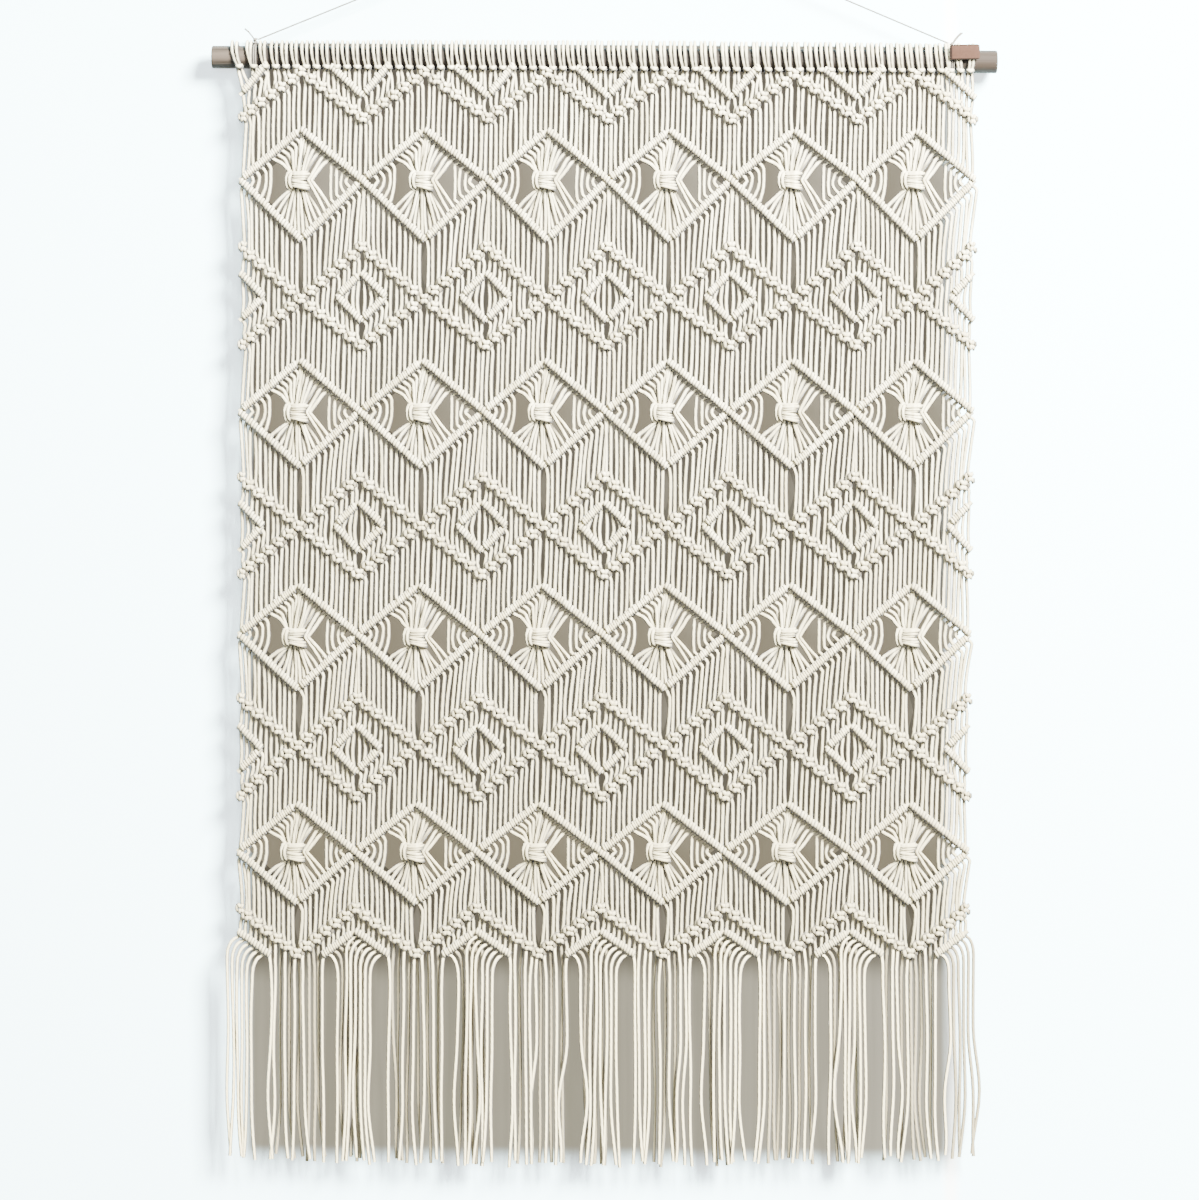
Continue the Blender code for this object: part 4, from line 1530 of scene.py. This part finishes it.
@dataclass
class Fringe(Builder):
    """The loose ends below the last row, in a front and a back layer.

    Arch, flare and bulge say where each of them starts and over which length it grows. Belly has the
    usual bulge and that of the bellied ends, and the depth's sway its size and its turns.
    """

    end_drop: float = 1.3315
    end_lift: float = 0.012
    uneven: float = 0.009
    near_apex: float = 0.20
    last_in_arm: int = 6
    last_settle: float = 0.0014
    settle_rising: float = 0.0104
    settle_falling: float = -0.0150
    arch: Span = (0.0050, 0.022)
    first_steps: Series = (0.0030, 0.0054, 0.0062, 0.0078, 0.0104, 0.0144, 0.0200, 0.0272)
    steps: int = 15
    even_from: float = 0.038
    swapped: float = 0.18
    back_layer: Span = (0.0030, 0.0056)
    front_layer: Span = (-0.0034, -0.0016)
    sway: Span = (0.0003, 0.0013)
    slow_share: float = 0.6
    swing_rate: float = 6.0
    tip: float = 0.006
    bellied: float = 0.20
    belly: Span = (0.0014, 0.0085)
    thin: float = 0.91
    waves: Span = (4.6, 9.0)
    flare: Span = (0.72, 0.28)
    flare_power: float = 1.6
    bulge: Span = (0.42, 0.58)
    depth_drop: float = 0.010
    depth_sway: Span = (0.0008, 3.0)

    def start(self, number: int) -> tuple[float, float, float, bool | None]:
        """Return where a loose end starts.

        Args:
            number: the cord's number from the left.

        Returns:
            Its x and drop there, how far it settles sideways, and whether it lies behind, or None
            where the layers alternate.
        """
        crossing = PATTERN.bottom_arrow.crossing(number)
        if crossing is None:
            crossing = PATTERN.last_knots.crossing(number)
            return crossing.x_out, crossing.drop_out, 0.0, None
        offset = cord_column(number) - round(cord_column(number))
        rising = offset < 0
        if int(abs(offset) * CORDS_PER_REPEAT) == self.last_in_arm:
            settle = -self.last_settle if rising else self.last_settle
            return crossing.x_out, crossing.drop_out, settle, False
        settle = self.settle_rising if rising else self.settle_falling
        return crossing.x_out, crossing.drop_out, settle, rising and abs(offset) < self.near_apex

    def path(self, number: int) -> tuple[list[Vector], list[float]]:
        """Return one loose end's points and radii.

        Args:
            number: the cord, counted from the left.

        Returns:
            Its points and their radii.
        """
        draws, jitter = self.workshop.draws, self.workshop.jitter
        x, drop, settle, behind = self.start(number)
        lift = self.end_lift * (x / (DOWEL.length / 2)) ** 2
        total = self.end_drop - lift - draws.uniform(0.0, self.uneven) - drop
        swapped = draws.random() < self.swapped
        back = (number % 2 == 0) != swapped if behind is None else behind
        layer = draws.uniform(*(self.back_layer if back else self.front_layer))
        phase, slow = draws.uniform(0, math.tau), draws.uniform(0, math.tau)
        sway, tip = draws.uniform(*self.sway), jitter(self.tip)
        belly = jitter(self.belly[draws.random() < self.bellied])
        target = GRID.x(cord_column(number), drop) + settle
        hangs = list(self.first_steps)
        hangs += [blend(self.even_from, total, step / self.steps) for step in range(self.steps + 1)]
        points, radii = [Vector((x, GRID.y, -DOWEL.sink - drop))], [CORD_RADIUS]
        for hang in hangs:
            share = hang / total
            fall = clamp((hang - self.arch[0]) / self.arch[1])
            ease = math.sqrt(1.0 - (1.0 - fall) ** 2) if settle else fall
            wave = sway * math.sin(phase + self.waves[0] * share)
            wave += sway * self.slow_share * math.sin(slow + self.waves[1] * share)
            flare = tip * clamp((share - self.flare[0]) / self.flare[1]) ** self.flare_power
            swell = belly * math.sin(math.pi * clamp((share - self.bulge[0]) / self.bulge[1])) ** 2
            place = blend(x, target, ease) + (wave + flare + swell) * clamp(share * self.swing_rate)
            depth = layer * clamp(hang / self.depth_drop)
            depth += self.depth_sway[0] * math.sin(slow + self.depth_sway[1] * share)
            points.append(Vector((place, GRID.y + depth, -DOWEL.sink - drop - hang)))
            radii.append(CORD_RADIUS * self.thin)
        return points, radii

    def build(self) -> None:
        """Build the loose ends."""
        strands = StrandSet("fringe_cords")
        for number in range(CORDS):
            strands.add(*self.path(number))
        self.workshop.strand_piece(strands, "fringe", Look.FRINGE)


@dataclass
class Hanger(Builder):
    """The twine over the nail and the knots that hold it on the dowel.

    The coil's span is its start and its height. A second tail lies a spread from the first at each point.
    Reach and thickness count in radii of the twine.
    """

    bend: float = 0.004
    bend_steps: int = 8
    knot_rise: float = 0.0066
    knot_half: float = 0.0034
    turns: Span = (-0.0012, 0.0012)
    turn_reach: float = 1.1
    turn_steps: int = 20
    coil_radius: float = 0.0020
    coil_thickness: float = 1.15
    coil_turns: float = 2.25
    coil_steps: int = 24
    coil_span: Span = (-0.0056, 0.0084)
    core: Span = (-0.0066, 0.0030)
    core_thickness: float = 1.4
    tail: tuple[Place, ...] = ((0.0, 0.0, 0.0), (0.0042, -0.001, 0.0056), (0.0076, -0.0016, 0.0100),
                               (0.0126, -0.001, 0.0142))
    tail_spreads: Series = (0.0, 0.0012, 0.0012, 0.0018)

    def knot_centre(self, x: float) -> Vector:
        """Return the middle of a twine knot, on top of the dowel."""
        return Vector((x, 0.0, DOWEL.z(x) + DOWEL.radius + self.knot_rise))

    def path(self) -> list[Vector]:
        """Return the twine's points from the left knot, round the nail and down to the right one."""
        knots = [self.knot_centre(x) for x in TWINE_KNOTS_X]
        centre = Vector((0.0, 0.0, -self.bend))
        angles = []
        for knot, side in zip(knots, (-1, 1)):
            to_knot = knot - centre
            turn = math.acos(self.bend / to_knot.length)
            angles.append((math.atan2(to_knot.z, to_knot.x) + side * turn) % math.tau)
        points = []
        for step in range(self.bend_steps + 1):
            angle = blend(*angles, step / self.bend_steps)
            points.append(centre + self.bend * Vector((math.cos(angle), 0.0, math.sin(angle))))
        start = knots[0] + (points[0] - knots[0]).normalized() * self.knot_half
        end = knots[1] + (points[-1] - knots[1]).normalized() * self.knot_half
        return [start, *points, end]

    def build_twine(self) -> None:
        points = self.path()
        curve = new_curve("hanging_twine")
        curve.bevel_depth = TWINE_RADIUS
        curve.bevel_resolution = 2
        curve.use_fill_caps = True
        add_spline(curve, points)
        curve.materials.append(self.workshop.looks[Look.TWINE])
        twine = add_object("hanging_twine", curve)
        declare(twine, "hanging_cord")
        length = sum((after - before).length for before, after in zip(points, points[1:]))
        tuple(points[0])
        LOG.info("hanging_twine: %.3f m", length)

    def build_knot(self, name: str, x: float, side: int) -> None:
        """Build one knot: two turns round the dowel, the knot itself and its tail.

        Args:
            name: the node that it stands for.
            x: its middle.
            side: 1 at the right, where it has two tails, and -1 at the left.
        """
        strands = StrandSet(f"{name}_turns")
        reach = DOWEL.radius + TWINE_RADIUS * self.turn_reach
        for offset in self.turns:
            angles = [math.tau * step / self.turn_steps for step in range(self.turn_steps)]
            ring = [(x + offset, reach * math.cos(a), DOWEL.z(x) + reach * math.sin(a)) for a in angles]
            strands.add(ring, TWINE_RADIUS, closed=True)
        centre = self.knot_centre(x)
        coil = []
        for step in range(self.coil_steps + 1):
            turn = math.tau * self.coil_turns * step / self.coil_steps
            up = self.coil_span[0] + self.coil_span[1] * step / self.coil_steps
            around = (self.coil_radius * math.cos(turn), self.coil_radius * math.sin(turn))
            coil.append(centre + Vector((*around, up)))
        strands.add(coil, TWINE_RADIUS * self.coil_thickness)
        core = [centre + Vector((0, 0, end)) for end in self.core]
        strands.add(core, TWINE_RADIUS * self.core_thickness)
        for share in (0, 1)[:1 if side < 0 else 2]:
            tail = [Vector((side * (a - share * spread), b, c))
                    for (a, b, c), spread in zip(self.tail, self.tail_spreads)]
            strands.add([centre + point for point in tail], TWINE_RADIUS)
        self.workshop.strand_piece(strands, name, Look.TWINE, "hanging_twine")

    def build(self) -> None:
        """Build the twine and both knots."""
        self.build_twine()
        for name, x, side in zip(("left", "right"), TWINE_KNOTS_X, (-1, 1)):
            self.build_knot(f"twine_knot_{name}", x, side)


@dataclass
class Tag(Builder):
    """The bare leather tag on the heading's right end."""

    centre_x: float = 0.4284
    rise: float = 0.0088
    width: float = 0.036
    height: float = 0.018
    thickness: float = 0.0015
    front: float = 0.0215
    corner: float = 0.0022
    curl_up: float = 0.0016
    curl_side: float = 0.0007
    tilt: float = 0.0004
    sharp_angle: float = 50.0
    columns: int = 24
    rows: int = 14

    def point(self, row: int, column: int, back: float) -> Place:
        """Return a point of the tag, on its front or a thickness behind it."""
        across, up = column / self.columns * 2 - 1, row / self.rows * 2 - 1
        inset = max(0.0, abs(up) * self.height / 2 - (self.height / 2 - self.corner))
        half_width = self.width / 2
        half_width -= self.corner - math.sqrt(max(self.corner**2 - inset**2, 0.0))
        curl = self.curl_up * max(0.0, up) ** 2 + self.curl_side * abs(across) ** 3
        z = DOWEL.z(self.centre_x) + self.rise + up * self.height / 2 + across * self.tilt
        return self.centre_x + across * half_width, -self.front + curl + back, z

    def faces(self) -> list[tuple[int, int, int, int]]:
        """Return the tag's faces: front and back in turns, and then the rim."""
        columns, rows, width = self.columns, self.rows, self.columns + 1
        size = width * (rows + 1)
        faces = []
        for row in range(rows):
            for a in range(row * width, row * width + columns):
                faces.append((a, a + 1, a + width + 1, a + width))
                faces.append((size + a, size + a + width, size + a + width + 1, size + a + 1))
        rim = [*range(columns), *range(columns, rows * width, width)]
        rim += [*range(rows * width + columns, rows * width, -1), *range(rows * width, 0, -width)]
        for here, there in zip(rim, rim[1:] + rim[:1]):
            faces.append((here, size + here, size + there, there))
        return faces

    def build(self) -> None:
        """Build the tag as a closed, slightly curled sheet with rounded corners and a darker edge."""
        vertices = [self.point(row, column, back) for back in (0.0, self.thickness)
                    for row in range(self.rows + 1) for column in range(self.columns + 1)]
        mesh = bpy.data.meshes.new("bare_tag")
        mesh.from_pydata(vertices, [], self.faces())
        for look in (Look.LEATHER, Look.LEATHER_EDGE):
            mesh.materials.append(self.workshop.looks[look])
        for face in mesh.polygons:
            row, column = divmod(face.index // 2, self.columns)
            face.material_index = int(row in (0, self.rows - 1) or row >= self.rows or column < 2)
        mesh.shade_smooth()
        mesh.set_sharp_from_angle(angle=math.radians(self.sharp_angle))
        declare(add_object("bare_tag", mesh), "leather_tag")


@dataclass(frozen=True)
class Lamp:
    """A square area light that looks at a point."""

    name: str
    place: Place
    target: Place
    size: float
    power: float
    colour: Colour

    def build(self) -> None:
        """Add the light to the scene."""
        light = bpy.data.lights.new(self.name, "AREA")
        light.shape = "SQUARE"
        light.size = self.size
        light.energy = self.power
        light.color = self.colour
        item = add_object(self.name, light)
        item.location = self.place
        direction = Vector(self.target) - Vector(self.place)
        item.rotation_euler = direction.to_track_quat("-Z", "Y").to_euler()


def backdrop(name: str, quads: Sequence[Sequence[Place]], material: Material) -> Item:
    """Add quads that belong to the stage and cast no shadow.

    Args:
        name: the new object's name.
        quads: four corners for each.
        material: their look.

    Returns:
        The new object.
    """
    mesh = bpy.data.meshes.new(name)
    faces = [tuple(range(4 * index, 4 * index + 4)) for index in range(len(quads))]
    mesh.from_pydata([point for quad in quads for point in quad], [], faces)
    mesh.materials.append(material)
    item = add_object(name, mesh)
    item.visible_shadow = False
    item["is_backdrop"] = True
    return item


def glow_in_front(nodes: Nodes, shader: Node) -> None:
    """Let a material glow without any mirroring, and make it see-through from behind."""
    nodes.fill(shader, {"Specular IOR Level": 0.0, "Emission Strength": 1.0})
    behind = nodes.add("ShaderNodeNewGeometry").outputs["Backfacing"]
    clear = nodes.add("ShaderNodeBsdfTransparent")
    mixed = nodes.add("ShaderNodeMixShader", inputs={0: behind, 1: shader.outputs[0], 2: clear.outputs[0]})
    output = next(node for node in nodes.tree.nodes if node.type == "OUTPUT_MATERIAL")
    nodes.tree.links.new(mixed.outputs[0], output.inputs["Surface"])


@dataclass(frozen=True)
class Wall:
    """The pale wall, with painted shadow behind the work, and painted light and shade where it shows through.

    Glow, painted shadow, low, fringe, open and lens colours are its own light. Glow stands for light from all
    around; the others are painted shadow behind the work, and painted light and shade seen through it. Its
    shaded part has an axis for each edge, and where the painted shadow starts and is full.
    """

    y: float = 0.0235
    reach: Span = (6.0, 4.0)
    pale: Colour = (0.50, 0.72, 0.78)
    edge: Colour = (0.66, 0.69, 0.66)
    glow: Colour = (1.6 * 0.93, 1.6 * 0.97, 1.6)
    # Right behind the work: a dark base colour and glowing painted shadow, darker lower down over the low
    # span.
    shade: Colour = (0.02, 0.019, 0.016)
    painted_shadow: Colour = (0.160, 0.144, 0.110)
    low: Colour = (0.122, 0.108, 0.076)
    low_span: Span = (-1.25, -0.25)
    # Glowing painted shadow seen between the fringe's cords, lighter to the right, and where it takes over
    # lower down.
    fringe: Colour = (0.44, 0.406, 0.296)
    fringe_shadow_right: Colour = (0.60, 0.556, 0.425)
    fringe_shadow_span: Span = (0.0, 0.33)
    fringe_shadow_fade: Span = (-1.31, -1.26)
    # The edges of the painted shadow behind the work.
    shadow_patch: tuple[tuple[str, float, float], ...] = (
        ("X", -0.452, -0.425), ("X", 0.430, 0.402), ("Z", -0.1712, -0.1730), ("Z", -1.540, -1.503))
    # Glowing painted light and shade on the wall seen through the large diamonds, darker at the left and, on
    # the right, lower down.
    open_light_left: Colour = (0.335, 0.287, 0.195)
    open_light_right: Colour = (0.68, 0.615, 0.470)
    open_light_right_low: Colour = (0.31, 0.268, 0.172)
    open_share: float = 0.86
    # Glowing painted shadow on the wall seen through the parting below each large diamond.
    lens: Colour = (0.235, 0.208, 0.152)
    lens_drop: float = 0.028
    lens_half: Span = (0.045, 0.024)
    forward: float = 0.0005

    def masks(self, nodes: Nodes, x: Socket, z: Socket) -> tuple[Socket, Socket]:
        """Mark parts of the wall.

        Args:
            nodes: the material's node adder.
            x: the place across.
            z: the height.

        Returns:
            A mask of painted shadow that is 1 right behind the panel, and one that is 1 along its right edge.
        """
        level = nodes.math("MULTIPLY_ADD", x, -DOWEL.slope, z)
        edges = [nodes.ramp(x if axis == "X" else level, *span) for axis, *span in self.shadow_patch]
        both = nodes.math("MULTIPLY", edges[0], edges[1])
        mask = nodes.math("MULTIPLY", both, nodes.math("MULTIPLY", edges[2], edges[3]))
        band = nodes.math("MULTIPLY", edges[1], nodes.math("SUBTRACT", 1.0, edges[1]))
        peak = 0.25
        return mask, nodes.math("MULTIPLY", band, 1.0 / peak)

    def build_wall(self) -> None:
        """Build the wall, with glowing painted shadow right behind the panel, which shows only from its
        front.
        """
        material, nodes, shader = new_material("wall")
        x, _, z = nodes.split(nodes.coordinates())
        mask, edge = self.masks(nodes, x, z)
        # Painted shadow behind the work, darker lower down and lighter behind the fringe.
        painted_shadow = nodes.mix(nodes.ramp(z, *self.low_span, 1.0, 0.0, smooth=False), self.painted_shadow, self.low)
        fringe = nodes.mix(nodes.ramp(x, *self.fringe_shadow_span, smooth=False), self.fringe, self.fringe_shadow_right)
        painted_shadow = nodes.mix(nodes.ramp(z, *self.fringe_shadow_fade, 1.0, 0.0), painted_shadow, fringe)
        colour = nodes.mix(mask, nodes.mix(edge, self.pale, self.edge), self.shade)
        glow = nodes.mix(mask, self.glow, painted_shadow)
        nodes.fill(shader, {"Base Color": colour, "Emission Color": glow, "Roughness": 1.0})
        glow_in_front(nodes, shader)
        across, up = self.reach
        corners = ((-across, -up), (across, -up), (across, up), (-across, up))
        backdrop("wall", [[(x, self.y, z) for x, z in corners]], material)

    def diamond(self, column: float, drop: float, half: Span, corner: float = 0.0) -> list[Place]:
        """Return a diamond just in front of the wall.

        Args:
            column: its middle's column.
            drop: its middle's drop.
            half: half its width in columns and half its height.
            corner: how far its side corners lie below its middle.

        Returns:
            Its left, lower, right and upper corner.
        """
        found = []
        for across, down in ((-half[0], corner), (0.0, half[1]), (half[0], corner), (0.0, -half[1])):
            x = GRID.x(column + across, drop + down)
            found.append((x, self.y - self.forward, GRID.z(x, drop + down)))
        return found

    def build_patches(self) -> None:
        """Build the glowing patches of painted light and shade behind the large diamonds, and of painted
        shadow below them.
        """
        material, nodes, shader = new_material("wall_open")
        # Each corner glows with its tone of painted light and shade.
        tone = nodes.add("ShaderNodeAttribute", {"attribute_name": "tone"})
        nodes.fill(shader, {"Base Color": (*self.shade, 1.0), "Emission Color": tone.outputs["Color"]})
        glow_in_front(nodes, shader)
        quads: list[list[Place]] = []
        colours: list[float] = []
        for row, (top, corner, _, bottom) in enumerate(PATTERN.large):
            share = math.sqrt(row / (len(PATTERN.large) - 1))
            right = [blend(high, low, share) for high, low in zip(self.open_light_right, self.open_light_right_low)]
            middle = [blend(here, there, 0.5) for here, there in zip(self.open_light_left, right)]
            half = (bottom - top) / 2
            size = (0.5 * self.open_share, half * self.open_share)
            tones = [value for tone in (self.open_light_left, middle, right, middle) for value in (*tone, 1.0)]
            for repeat in range(REPEATS):
                quads.append(self.diamond(repeat + 0.5, top + half, size, corner - top - half))
                quads.append(self.diamond(repeat + 0.5, bottom + self.lens_drop, self.lens_half))
                colours += tones + [*self.lens, 1.0] * 4
        layer = backdrop("wall_open", quads, material).data.attributes.new("tone", "FLOAT_COLOR", "POINT")
        layer.data.foreach_set("color", colours)


@dataclass(frozen=True)
class Studio:
    """The wall, lights, world and camera, which aren't part of the object."""

    wall: Wall = Wall()
    lamps: tuple[Lamp, ...] = (
        Lamp("key", (2.6, -3.4, 1.7), (0.0, 0.0, -0.8), 1.7, 5600.0, (1.0, 0.985, 0.93)),
        Lamp("fill", (-1.0, -4.6, -0.2), (0.0, 0.0, -0.9), 2.2, 260.0, (0.92, 0.96, 1.0)),
    )
    sky: Colour = (0.93, 0.96, 1.0)
    sky_strength: float = 0.2
    focal_length: float = 110.0
    camera_place: Place = (-0.009, -4.411, -0.8436)

    def build(self) -> None:
        """Build the stage, the lights, the world and the camera."""
        self.wall.build_wall()
        self.wall.build_patches()
        for lamp in self.lamps:
            lamp.build()
        world = bpy.data.worlds.new("world")
        world.use_nodes = True
        background = world.node_tree.nodes["Background"]
        background.inputs["Color"].default_value = (*self.sky, 1.0)
        background.inputs["Strength"].default_value = self.sky_strength
        bpy.context.scene.world = world
        lens = bpy.data.cameras.new("camera")
        lens.lens = self.focal_length
        camera = add_object("camera", lens)
        camera.location = self.camera_place
        camera.rotation_euler = (math.radians(90), 0.0, 0.0)
        bpy.context.scene.camera = camera


def plain(box: Sequence[Sequence[float]]) -> list[list[float]]:
    """Return a box as plain lists of numbers."""
    return [[float(value) for value in corner] for corner in box]


def main() -> None:
    """Build the scene piece by piece, and measure the sizes before and after."""
    logging.basicConfig(level=logging.INFO, format="%(message)s", stream=sys.stdout)
    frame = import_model()
    packed = plain(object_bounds())
    workshop = Workshop()
    LOG.info("building the studio")
    Studio().build()
    for builder in (Heading, PanelCords, CloveHitches, SquareKnots, BigKnots, Fringe, Hanger, Tag):
        LOG.info("building %s", builder.__name__)
        builder(workshop).build()
    LOG.info("dressing the dowel")
    DOWEL.dress(frame["nodes"]["dowel"], workshop.looks[Look.WOOD])
    json.dumps({"cad": packed, "visual": plain(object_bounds())})


if __name__ == "__main__":
    main()
